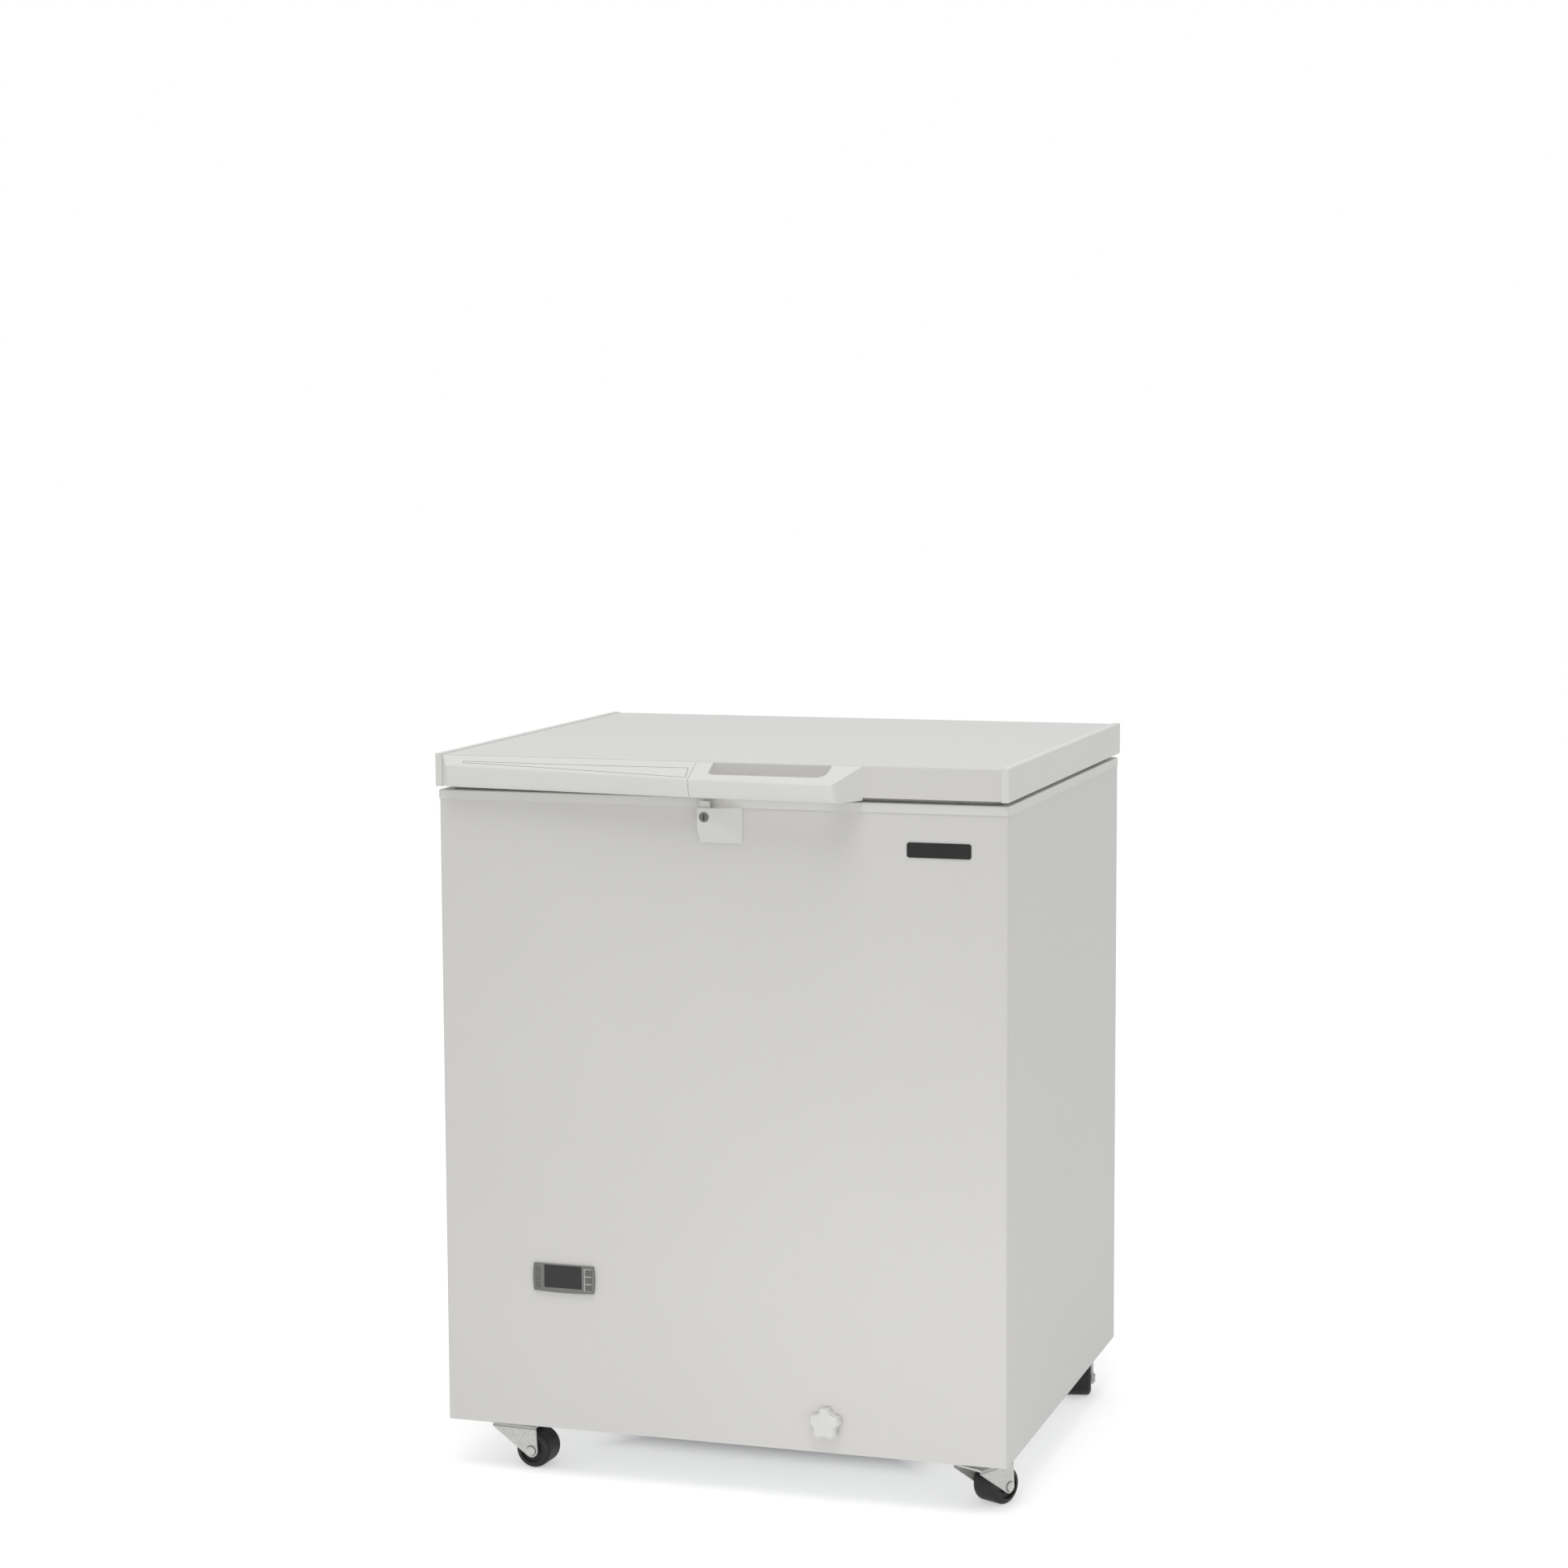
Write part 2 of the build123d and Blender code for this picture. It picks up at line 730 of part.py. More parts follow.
with BuildPart() as handle_grip:
    add(handle_section(handle_split_x, 0, handle_split_reach, handle_split_edge_drop, handle_split_bottom))
    add(handle_section(handle_end_x, 0, handle_end_reach, handle_corner_edge_drop, handle_split_bottom))
    loft(ruled=True)
    with BuildSketch(Plane.XY.offset(lid_top_z)):
        with BuildLine():
            FilletPolyline(
                (handle_end_x, lid_front_y),
                (handle_corner_x, front_y - handle_corner_reach - corner_clearance),
                (finger_right_x, front_y - bar_reach(finger_right_x) - corner_clearance),
                radius=handle_corner_radius,
            )
            Polyline(
                (finger_right_x, front_y - bar_reach(finger_right_x) - corner_clearance),
                (finger_right_x, front_y - 2 * handle_corner_reach),
                (handle_end_x, front_y - 2 * handle_corner_reach),
                (handle_end_x, lid_front_y),
            )
        make_face()
    extrude(amount=-2 * lid_thickness, mode=Mode.SUBTRACT)
    with BuildSketch(Plane.XY.offset(lid_top_z)) as finger_hole:
        with BuildLine():
            Polyline(
                (finger_left_x, lid_front_y),
                (finger_left_x, front_y - bar_reach(finger_left_x) + finger_left_bar),
                (finger_right_x, front_y - bar_reach(finger_right_x) + finger_right_bar),
                (finger_right_x, lid_front_y),
                close=True,
            )
        make_face()
        fillet(finger_hole.vertices().group_by(Axis.X)[0].sort_by(Axis.Y)[0], finger_left_radius)
        fillet(finger_hole.vertices().group_by(Axis.X)[-1].sort_by(Axis.Y)[0], finger_right_radius)
    extrude(amount=-2 * lid_thickness, mode=Mode.SUBTRACT)
    with BuildSketch(Plane.XY.offset(lid_top_z - handle_split_bottom)):
        with Locations((bolt_x, front_y - bolt_front + bolt_thickness / 2)):
            Rectangle(bolt_width + 2 * keeper_gap, bolt_thickness + 2 * keeper_gap)
    extrude(amount=keeper_depth, mode=Mode.SUBTRACT)
keep(handle_grip.part, "handle_grip")

# Lock housing: a moulding with a raised corner for the key, and a channel behind it for the bolt
lock_middle_x = lock_left_x + lock_width / 2
plateau_x = lock_left_x + lock_plateau_width / 2
cylinder_z = cabinet_height - cylinder_from_top
bolt_bottom_z = cabinet_height + bolt_rise - bolt_length
bolt_middle_y = front_y - bolt_front + bolt_thickness / 2
with BuildPart() as lock_housing:
    with BuildSketch(upright(0)):
        with Locations((lock_middle_x, cabinet_height - lock_height / 2)):
            Rectangle(lock_width, lock_height)
    extrude(amount=lock_lip)
    with BuildSketch(upright(-lock_lip)):
        with Locations((lock_middle_x, cabinet_height - lock_height / 2)):
            Rectangle(lock_width, lock_height)
    with BuildSketch(upright(-lock_depth)):
        with Locations((plateau_x, cabinet_height - lock_plateau_height / 2)):
            Rectangle(lock_plateau_width, lock_plateau_height)
    loft(ruled=True)
    with BuildSketch(Plane.XY.offset(frame_z)):
        with Locations((bolt_x, bolt_middle_y)):
            Rectangle(bolt_width + 2 * bolt_gap, bolt_thickness + 2 * bolt_gap)
    extrude(amount=bolt_rise - bolt_length - bolt_gap, mode=Mode.SUBTRACT)
    with BuildSketch(upright(-lock_depth)):
        with Locations((bolt_x, cylinder_z)):
            Circle(cylinder_diameter / 2 + cylinder_fit)
    extrude(amount=bolt_front - lock_depth, mode=Mode.SUBTRACT)
    with BuildSketch(upright(-bolt_front)):
        with Locations((bolt_x, cylinder_z)):
            Circle(cylinder_tail_diameter / 2 + cylinder_fit)
    extrude(amount=-bolt_front, mode=Mode.SUBTRACT)
keep(lock_housing.part, "lock_housing")

# Key cylinder: a slotted disc with a tail that passes through the bolt
cylinder_back = bolt_front + bolt_gap
with BuildPart() as lock_cylinder:
    with BuildSketch(upright(-cylinder_back)):
        with Locations((bolt_x, cylinder_z)):
            Circle(cylinder_diameter / 2)
    extrude(amount=lock_depth + cylinder_proud - cylinder_back)
    with BuildSketch(upright(-cylinder_back)):
        with Locations((bolt_x, cylinder_z)):
            Circle(cylinder_tail_diameter / 2)
    extrude(amount=-(cylinder_back - steel_sheet))
    with BuildSketch(upright(-lock_depth - cylinder_proud)):
        with Locations((bolt_x, cylinder_z)):
            SlotOverall(key_slot_length, key_slot_width, rotation=90)
    extrude(amount=-key_slot_depth, mode=Mode.SUBTRACT)
keep(lock_cylinder.part, "lock_cylinder")

# Lock bolt, a flat tongue slotted round the tail of the cylinder
tail_room = cylinder_tail_diameter + 2 * bolt_gap
with BuildPart() as lock_bolt:
    with BuildSketch(upright(-bolt_front)) as bolt_face:
        with Locations((bolt_x, bolt_bottom_z + bolt_length / 2)):
            Rectangle(bolt_width, bolt_length)
        fillet(bolt_face.vertices().group_by(Axis.Y)[-1], bolt_width / 6)
        with Locations((bolt_x, cylinder_z - bolt_travel / 2)):
            SlotOverall(bolt_travel + tail_room, tail_room, rotation=90, mode=Mode.SUBTRACT)
    extrude(amount=-bolt_thickness)
keep(lock_bolt.part, "lock_bolt")

# Controller case: bowed bezel in front of the panel and a box through the cut-out
bezel_left = controller_x - controller_width / 2
bezel_right = controller_x + controller_width / 2
bezel_bottom = controller_z - controller_height / 2
bezel_top = controller_z + controller_height / 2
display_x = bezel_left + display_from_left + display_width / 2
display_z = bezel_top - display_from_top - display_height / 2
left_key_x = bezel_left + key_side_margin + key_width / 2
right_key_x = bezel_right - key_side_margin - key_width / 2
key_rows = ((1, "top"), (0, "middle"), (-1, "bottom"))
key_places = [
    (f"key_{side_name}_{row_name}", key_x, controller_z + row * key_pitch)
    for side_name, key_x in (("left", left_key_x), ("right", right_key_x))
    for row, row_name in key_rows
]
key_pocket_depth = key_depth - key_proud + key_travel + key_gap
with BuildPart() as controller_case:
    with BuildSketch(upright(0)):
        with BuildLine():
            Line((bezel_left, bezel_top), (bezel_right, bezel_top))
            ThreePointArc(
                (bezel_right, bezel_top),
                (bezel_right + controller_bow, controller_z),
                (bezel_right, bezel_bottom),
            )
            ThreePointArc(
                (bezel_right, bezel_bottom),
                (controller_x, bezel_bottom - controller_bow),
                (bezel_left, bezel_bottom),
            )
            ThreePointArc(
                (bezel_left, bezel_bottom),
                (bezel_left - controller_bow, controller_z),
                (bezel_left, bezel_top),
            )
        make_face()
    extrude(amount=controller_proud)
    fillet(controller_case.faces().sort_by(Axis.Y)[0].edges(), bezel_edge_radius)
    with BuildSketch(upright(0)):
        with Locations((controller_x, controller_z)):
            Rectangle(
                controller_cutout_width - 2 * controller_cutout_gap,
                controller_cutout_height - 2 * controller_cutout_gap,
            )
    extrude(amount=-controller_depth)
    with BuildSketch(upright(-controller_proud)):
        with Locations((display_x, display_z)):
            Rectangle(display_width, display_height)
    extrude(amount=-display_depth, mode=Mode.SUBTRACT)
    with BuildSketch(upright(-controller_proud)):
        for key_name, key_x, key_z in key_places:
            with Locations((key_x, key_z)):
                Rectangle(key_width + 2 * key_gap, key_height + 2 * key_gap)
    extrude(amount=-key_pocket_depth, mode=Mode.SUBTRACT)
keep(controller_case.part, "controller_case")

# Display window, set into the bezel
with BuildPart() as controller_display:
    with BuildSketch(upright(-controller_proud)):
        with Locations((display_x, display_z)):
            Rectangle(display_width, display_height)
    extrude(amount=-display_depth)
    chamfer(controller_display.faces().sort_by(Axis.Y)[0].edges(), bezel_edge_radius / 3)
keep(controller_display.part, "controller_display")

# Controller keys, three each side of the window
for key_name, key_x, key_z in key_places:
    with BuildPart() as key:
        with BuildSketch(upright(-controller_proud - key_proud)):
            with Locations((key_x, key_z)):
                Rectangle(key_width, key_height)
        extrude(amount=-key_depth)
        fillet(key.faces().sort_by(Axis.Y)[0].edges(), key_proud / 2)
    keep(key.part, key_name)

# Dark plate at the top right of the front, bare
with BuildPart() as name_plate:
    with BuildSketch(upright(0)):
        with Locations((half_width - plate_from_right, cabinet_height - plate_from_top)):
            RectangleRounded(plate_width, plate_height, plate_corner_radius)
    extrude(amount=plate_thickness)
    chamfer(name_plate.faces().sort_by(Axis.Y)[0].edges(), plate_thickness / 4)
keep(name_plate.part, "name_plate")

# Drain pipe from the tank floor to a threaded spout on the front
drain_inside = drain_tube(drain_pipe_diameter, 0)
drain_hollow = drain_tube(drain_bore, spout_length)
with BuildPart() as drain_pipe:
    add(drain_inside)
    with BuildSketch(upright(0)):
        with Locations((drain_x, drain_z)):
            Circle(drain_flange_diameter / 2)
    extrude(amount=drain_flange_thickness)
    with BuildSketch(upright(0)):
        with Locations((drain_x, drain_z)):
            Circle(spout_diameter / 2)
    extrude(amount=spout_length)
    add(drain_hollow, mode=Mode.SUBTRACT)
keep(drain_pipe.part, "drain_pipe")

# Rubber washer that seals the spout
washer_back = spout_length + washer_gap
with BuildPart() as drain_washer:
    with BuildSketch(upright(-washer_back)):
        with Locations((drain_x, drain_z)):
            Circle(spout_diameter / 2)
    extrude(amount=washer_thickness)
keep(drain_washer.part, "drain_washer")

# Five-lobed drain cap, one lobe upwards
cap_back = drain_flange_thickness + washer_gap
cap_plane = upright(-cap_back, drain_x, drain_z)
tip_half_angle = knob_tip_width / (2 * knob_radius)
lobe_angle = 2 * pi / knob_lobes


def on_cap(angle, radius):
    """A point on the cap's outline, with angles counted from straight up."""
    return (radius * sin(angle), radius * cos(angle))


with BuildPart() as drain_cap:
    with BuildSketch(cap_plane):
        with BuildLine():
            for lobe in range(knob_lobes):
                tip = lobe * lobe_angle
                after = tip + lobe_angle
                Line(
                    on_cap(tip - tip_half_angle, knob_radius),
                    on_cap(tip + tip_half_angle, knob_radius),
                )
                ThreePointArc(
                    on_cap(tip + tip_half_angle, knob_radius),
                    on_cap((tip + after) / 2, knob_valley_radius),
                    on_cap(after - tip_half_angle, knob_radius),
                )
        make_face()
    extrude(amount=knob_depth)
    chamfer(drain_cap.faces().sort_by(Axis.Y)[0].edges(), knob_chamfer)
    with BuildSketch(cap_plane):
        Circle(spout_diameter / 2 + knob_fit)
    extrude(amount=washer_back + washer_thickness - cap_back, mode=Mode.SUBTRACT)
keep(drain_cap.part, "drain_cap")

# Lid hinges: a spring box on the back of the cabinet with two ears, and an arm on the lid
pin_y = back_y + hinge_pin_reach
pin_z = lid_z + hinge_pin_rise
box_top_z = frame_z - hinge_below_frame
box_inside = hinge_box_width - 2 * hinge_sheet
arm_back_y = lid_back_y + hinge_sheet
arm_z = lid_z + hinge_arm_from_bottom + hinge_arm_height / 2
box_middle_z = box_top_z - hinge_box_height / 2
hinge_screw_spread = hinge_plate_width - 2 * hinge_screw_inset
hinge_screw_rise = hinge_box_height - 4 * hinge_screw_inset
arm_screw_spread = hinge_arm_width - 2 * hinge_screw_inset
arm_screw_rise = hinge_arm_height - 2 * hinge_screw_inset
hinge_x_right = half_width - hinge_from_side
hinge_places = ((-hinge_x_right, "left"), (hinge_x_right, "right"))
for hinge_x, side_name in hinge_places:
    with BuildPart() as hinge_base:
        with BuildSketch(Plane.XY.offset(box_top_z)):
            with Locations((hinge_x, back_y + hinge_sheet / 2)):
                Rectangle(hinge_plate_width, hinge_sheet)
            with Locations((hinge_x, back_y + hinge_reach / 2)):
                Rectangle(hinge_box_width, hinge_reach)
        extrude(amount=-hinge_box_height)
        fillet(hinge_base.edges().filter_by(Axis.Z).group_by(Axis.Y)[-1], hinge_sheet)
        for ear in (-1, 1):
            ear_x = hinge_x + ear * (hinge_box_width - hinge_sheet) / 2
            with BuildSketch(end_on(ear_x)):
                with Locations((pin_y, (pin_z + box_top_z) / 2)):
                    Rectangle(2 * hinge_ear_radius, pin_z - box_top_z)
                with Locations((pin_y, pin_z)):
                    Circle(hinge_ear_radius)
                    Circle(hinge_pin_diameter / 2 + hinge_fit, mode=Mode.SUBTRACT)
            extrude(amount=hinge_sheet / 2, both=True)
        with BuildSketch(upright(cabinet_depth, hinge_x, box_middle_z - base_z)):
            with GridLocations(hinge_screw_spread, hinge_screw_rise, 2, 2):
                Circle(screw_shank_diameter / 2 + screw_clearance)
        extrude(amount=-hinge_sheet, mode=Mode.SUBTRACT)
    keep(hinge_base.part, f"hinge_base_{side_name}")

    with BuildPart() as hinge_arm:
        with BuildSketch(end_on(hinge_x)):
            with Locations((lid_back_y + hinge_sheet / 2, arm_z)):
                Rectangle(hinge_sheet, hinge_arm_height)
        extrude(amount=hinge_arm_width / 2, both=True)
        with BuildSketch(end_on(hinge_x)):
            with Locations((pin_y, pin_z)):
                Circle(hinge_ear_radius - hinge_arm_gap)
            with BuildLine():
                Polyline(
                    (lid_back_y, arm_z - hinge_arm_height / 2),
                    (pin_y, pin_z - hinge_ear_radius + hinge_arm_gap),
                    (pin_y, pin_z + hinge_ear_radius - hinge_arm_gap),
                    (lid_back_y, arm_z + hinge_arm_height / 2),
                    close=True,
                )
            make_face()
            with Locations((pin_y, pin_z)):
                Circle(hinge_pin_diameter / 2 + hinge_fit, mode=Mode.SUBTRACT)
        extrude(amount=box_inside / 2 - hinge_arm_gap, both=True)
        with BuildSketch(upright(lid_back_y - front_y, hinge_x, arm_z - base_z)):
            with GridLocations(arm_screw_spread, arm_screw_rise, 2, 2):
                Circle(screw_shank_diameter / 2 + screw_clearance)
        extrude(amount=-hinge_sheet, mode=Mode.SUBTRACT)
    keep(hinge_arm.part, f"hinge_arm_{side_name}")

    with BuildPart() as hinge_pin:
        with BuildSketch(end_on(hinge_x)):
            with Locations((pin_y, pin_z)):
                Circle(hinge_pin_diameter / 2)
        extrude(amount=hinge_box_width / 2 + pin_head_thickness, both=True)
        for ear in (-1, 1):
            with BuildSketch(end_on(hinge_x + ear * (hinge_box_width + pin_head_thickness) / 2)):
                with Locations((pin_y, pin_z)):
                    Circle(pin_head_diameter / 2)
            extrude(amount=pin_head_thickness / 2, both=True)
    keep(hinge_pin.part, f"hinge_pin_{side_name}")


def corners(width, height, x=0.0, y=0.0):
    """The four corners of a rectangle about a point."""
    return [(x + i * width / 2, y + j * height / 2) for i in (-1, 1) for j in (-1, 1)]


def screw_set(plane, places, grip):
    """Pan-head screws standing on a face, with shanks as long as the sheet that they hold."""
    with BuildPart() as screws:
        with BuildSketch(plane):
            with Locations(*places):
                Circle(screw_head_diameter / 2)
        extrude(amount=screw_head_height, taper=screw_head_taper)
        with BuildSketch(plane):
            with Locations(*places):
                Circle(screw_shank_diameter / 2)
        extrude(amount=-grip)
    return screws.part


# Screws of the cabinet, which hold the hinge bases, the grille and the caster plates
caster_left_x = -half_width + caster_left_inset
caster_right_x = half_width - caster_right_inset
caster_front_y = front_y + caster_front_inset
caster_back_y = back_y - caster_back_inset
casters = (
    ("front_left", caster_left_x, caster_front_y, swivel_front_left),
    ("front_right", caster_right_x, caster_front_y, swivel_front_right),
    ("rear_left", caster_left_x, caster_back_y, swivel_rear_left),
    ("rear_right", caster_right_x, caster_back_y, swivel_rear_right),
)
plate_bottom_z = base_z - caster_plate_thickness
behind = Plane(origin=(0, back_y, 0), x_dir=(-1, 0, 0), z_dir=(0, 1, 0))
under_plates = Plane(origin=(0, 0, plate_bottom_z), x_dir=(1, 0, 0), z_dir=(0, 0, -1))
hinge_screw_places = [
    place
    for hinge_x, side_name in hinge_places
    for place in corners(hinge_screw_spread, hinge_screw_rise, -hinge_x, box_middle_z)
]
grille_screw_places = corners(
    grille_width - grille_overlap,
    grille_height - grille_overlap,
    -compartment_middle_x,
    base_z + opening_z,
)
caster_screw_places = [
    place
    for name, caster_x, caster_y, swivel in casters
    for place in corners(caster_screw_spacing, caster_screw_spacing, caster_x, -caster_y)
]
hinge_screws = screw_set(behind.offset(hinge_sheet), hinge_screw_places, hinge_sheet)
grille_screws = screw_set(behind.offset(grille_sheet), grille_screw_places, grille_sheet)
caster_screws = screw_set(under_plates, caster_screw_places, caster_plate_thickness)
with BuildPart() as cabinet_screws:
    add(hinge_screws)
    add(grille_screws)
    add(caster_screws)
keep(cabinet_screws.part, "cabinet_screws")

# Screws of the lid, which hold the hinge arms
arm_screw_places = [
    place
    for hinge_x, side_name in hinge_places
    for place in corners(arm_screw_spread, arm_screw_rise, -hinge_x, arm_z)
]
arm_screws = screw_set(behind.offset(arm_back_y - back_y), arm_screw_places, hinge_sheet)
with BuildPart() as lid_screws:
    add(arm_screws)
keep(lid_screws.part, "lid_screws")

# Caster plates, each with its ball race and kingpin
crown_z = plate_bottom_z - race_height
kingpin_head_z = crown_z - fork_sheet - race_gap
with BuildPart() as caster_plates:
    for name, caster_x, caster_y, swivel in casters:
        with BuildSketch(Plane.XY.offset(plate_bottom_z)):
            with Locations((caster_x, caster_y)):
                RectangleRounded(caster_plate_size, caster_plate_size, caster_plate_radius)
            with Locations(*corners(caster_screw_spacing, caster_screw_spacing, caster_x, caster_y)):
                Circle(screw_shank_diameter / 2 + screw_clearance, mode=Mode.SUBTRACT)
        extrude(amount=caster_plate_thickness)
        with BuildSketch(Plane.XY.offset(plate_bottom_z)):
            with Locations((caster_x, caster_y)):
                Circle(race_radius)
        extrude(amount=race_gap - race_height, taper=race_taper)
        with BuildSketch(Plane.XY.offset(plate_bottom_z)):
            with Locations((caster_x, caster_y)):
                Circle(kingpin_diameter / 2)
        extrude(amount=kingpin_head_z - plate_bottom_z)
        with BuildSketch(Plane.XY.offset(kingpin_head_z)):
            with Locations((caster_x, caster_y)):
                Circle(kingpin_head_diameter / 2)
        extrude(amount=-kingpin_head_thickness)
keep(caster_plates.part, "caster_plates")

# Caster forks, axles and wheels, each turned about its kingpin as the caster stands
fork_width = wheel_width + 2 * wheel_side_gap + 2 * fork_sheet
axle_z = wheel_radius
for name, caster_x, caster_y, swivel in casters:
    trail = Vector(cos(radians(swivel)), sin(radians(swivel)), 0)
    across = trail.cross(Vector(0, 0, 1))
    kingpin = Vector(caster_x, caster_y, 0)
    axle_centre = kingpin + trail * caster_trail + Vector(0, 0, axle_z)
    side = Plane(origin=kingpin, x_dir=trail, z_dir=across)
    crown = Plane(origin=kingpin + Vector(0, 0, crown_z), x_dir=trail, z_dir=(0, 0, 1))
    axle_plane = Plane(origin=axle_centre, x_dir=across, z_dir=trail)

    with BuildPart() as fork:
        with BuildSketch(side):
            with Locations((0, crown_z - fork_heel / 2)):
                Rectangle(2 * fork_half_length, fork_heel)
            with Locations((caster_trail, axle_z)):
                Circle(fork_toe_radius)
            make_hull()
        extrude(amount=fork_width / 2, both=True)
        top_edges = fork.faces().sort_by(Axis.Z)[-1].edges()
        fillet(top_edges.filter_by(lambda edge: abs((edge % 0.5).dot(trail)) > 0.9), fork_sheet)
        with BuildSketch(side):
            with Locations((0, crown_z / 2 - fork_sheet)):
                Rectangle(4 * fork_half_length, crown_z)
        extrude(amount=fork_width / 2 - fork_sheet, both=True, mode=Mode.SUBTRACT)
        with BuildSketch(crown):
            Circle(kingpin_diameter / 2 + kingpin_fit)
        extrude(amount=-2 * fork_sheet, mode=Mode.SUBTRACT)
        with BuildSketch(side):
            with Locations((caster_trail, axle_z)):
                Circle(axle_diameter / 2 + axle_fit)
        extrude(amount=fork_width, both=True, mode=Mode.SUBTRACT)
    keep(fork.part, f"caster_fork_{name}")

    with BuildPart() as axle:
        with BuildSketch(side):
            with Locations((caster_trail, axle_z)):
                Circle(axle_diameter / 2)
        extrude(amount=fork_width / 2, both=True)
        for end in (fork_width / 2, -fork_width / 2 - axle_head_thickness):
            with BuildSketch(side.offset(end)):
                with Locations((caster_trail, axle_z)):
                    Circle(axle_head_diameter / 2)
            extrude(amount=axle_head_thickness)
    keep(axle.part, f"caster_axle_{name}")

    with BuildPart() as wheel:
        with BuildSketch(axle_plane):
            with BuildLine():
                half = wheel_width / 2
                bore = axle_diameter / 2 + axle_fit
                Polyline(
                    (-half + wheel_shoulder, wheel_radius),
                    (half - wheel_shoulder, wheel_radius),
                )
                RadiusArc(
                    (half - wheel_shoulder, wheel_radius),
                    (half, wheel_radius - wheel_shoulder),
                    wheel_shoulder,
                )
                Polyline(
                    (half, wheel_radius - wheel_shoulder),
                    (half, bore),
                    (-half, bore),
                    (-half, wheel_radius - wheel_shoulder),
                )
                RadiusArc(
                    (-half, wheel_radius - wheel_shoulder),
                    (-half + wheel_shoulder, wheel_radius),
                    wheel_shoulder,
                )
            make_face()
        revolve(axis=Axis(axle_centre, across))
        for face in (-1, 1):
            with BuildSketch(side.offset(face * wheel_width / 2)):
                with Locations((caster_trail, axle_z)):
                    Circle(wheel_rim_radius)
                    Circle(wheel_hub_radius, mode=Mode.SUBTRACT)
            extrude(amount=-face * wheel_dish, mode=Mode.SUBTRACT)
    keep(wheel.part, f"caster_wheel_{name}")

# Rubber mounts under the compressor
machine_z = base_z + steel_sheet
foot_z = machine_z + mount_height
compressor_mid_y = back_y - compressor_from_back
foot_places = corners(
    compressor_foot_spread_x, compressor_foot_spread_y, compartment_middle_x, compressor_mid_y
)
with BuildPart() as compressor_mounts:
    with BuildSketch(Plane.XY.offset(machine_z)):
        with Locations(*foot_places):
            Circle(mount_diameter / 2)
    extrude(amount=mount_height)
    chamfer(compressor_mounts.edges().filter_by(GeomType.CIRCLE), mount_diameter / 12)
keep(compressor_mounts.part, "compressor_mounts")

# Hermetic compressor: a seamed can on a foot plate, with a terminal box and two pipe stubs
can_z = foot_z + compressor_foot_sheet
can_top_z = can_z + compressor_height
stub_z = can_top_z + stub_length
discharge_x = compartment_middle_x + stub_spread / 2
suction_x = compartment_middle_x - stub_spread / 2
with BuildPart() as compressor:
    with BuildSketch(Plane.XY.offset(can_z)):
        with Locations((compartment_middle_x, compressor_mid_y)):
            Ellipse(compressor_width / 2, compressor_depth / 2)
    extrude(amount=compressor_height)
    fillet(compressor.edges().group_by(Axis.Z)[-1], can_dome_radius)
    with BuildSketch(Plane.XY.offset(can_z + compressor_height / 2)):
        with Locations((compartment_middle_x, compressor_mid_y)):
            Ellipse(compressor_width / 2 + compressor_seam, compressor_depth / 2 + compressor_seam)
    extrude(amount=compressor_seam)
    with BuildSketch(Plane.XY.offset(foot_z)):
        with Locations((compartment_middle_x, compressor_mid_y)):
            RectangleRounded(
                compressor_foot_spread_x + mount_diameter,
                compressor_foot_spread_y + mount_diameter,
                mount_diameter / 2,
            )
    extrude(amount=compressor_foot_sheet)
    with BuildSketch(Plane.XY.offset(can_z + terminal_box_rise)):
        with Locations((compartment_middle_x, compressor_mid_y - compressor_depth / 2)):
            Rectangle(terminal_box, terminal_box)
    extrude(amount=terminal_box)
    with BuildSketch(Plane.XY.offset(can_z + compressor_height / 2)):
        with Locations((discharge_x, compressor_mid_y), (suction_x, compressor_mid_y)):
            Circle(stub_diameter / 2)
    extrude(amount=stub_z - can_z - compressor_height / 2)
keep(compressor.part, "compressor")

# Condenser: side plates on the base, fins, and a tube that winds through them
condenser_back_y = back_y - steel_sheet - condenser_from_back
condenser_mid_y = condenser_back_y - condenser_depth / 2
condenser_front_y = condenser_back_y - condenser_depth
fin_span = condenser_width - 2 * condenser_sheet
fin_pitch = fin_span / (fin_count + 1)
row_pitch = condenser_height / condenser_rows
tube_right_x = compartment_middle_x + condenser_width / 2 + tube_stub
tube_left_x = compartment_middle_x - condenser_width / 2 - tube_stub
first_row_z = machine_z + row_pitch / 2
last_row_z = first_row_z + (condenser_rows - 1) * row_pitch
with BuildPart() as condenser:
    with BuildSketch(Plane.XY.offset(machine_z)):
        for plate in (-1, 1):
            plate_x = compartment_middle_x + plate * (condenser_width - condenser_sheet) / 2
            with Locations((plate_x, condenser_mid_y)):
                Rectangle(condenser_sheet, condenser_depth)
    extrude(amount=condenser_height)
    with BuildSketch(Plane.XY.offset(machine_z + fin_lift)):
        with Locations((compartment_middle_x, condenser_mid_y)):
            with GridLocations(fin_pitch, 0, fin_count, 1):
                Rectangle(fin_thickness, condenser_depth)
    extrude(amount=condenser_height - fin_lift)
    with BuildSketch(end_on(tube_left_x)):
        for row in range(condenser_rows):
            with Locations((condenser_mid_y, first_row_z + row * row_pitch)):
                Circle(condenser_tube_diameter / 2)
    extrude(amount=tube_right_x - tube_left_x)
    for row in range(condenser_rows - 1):
        bend_x = tube_left_x if row % 2 == 0 else tube_right_x
        bend_axis = Axis((bend_x, condenser_mid_y, first_row_z + (row + 0.5) * row_pitch), (0, 1, 0))
        with BuildSketch(end_on(bend_x)):
            with Locations((condenser_mid_y, first_row_z + row * row_pitch)):
                Circle(condenser_tube_diameter / 2)
        revolve(axis=bend_axis, revolution_arc=180 if row % 2 == 0 else -180)
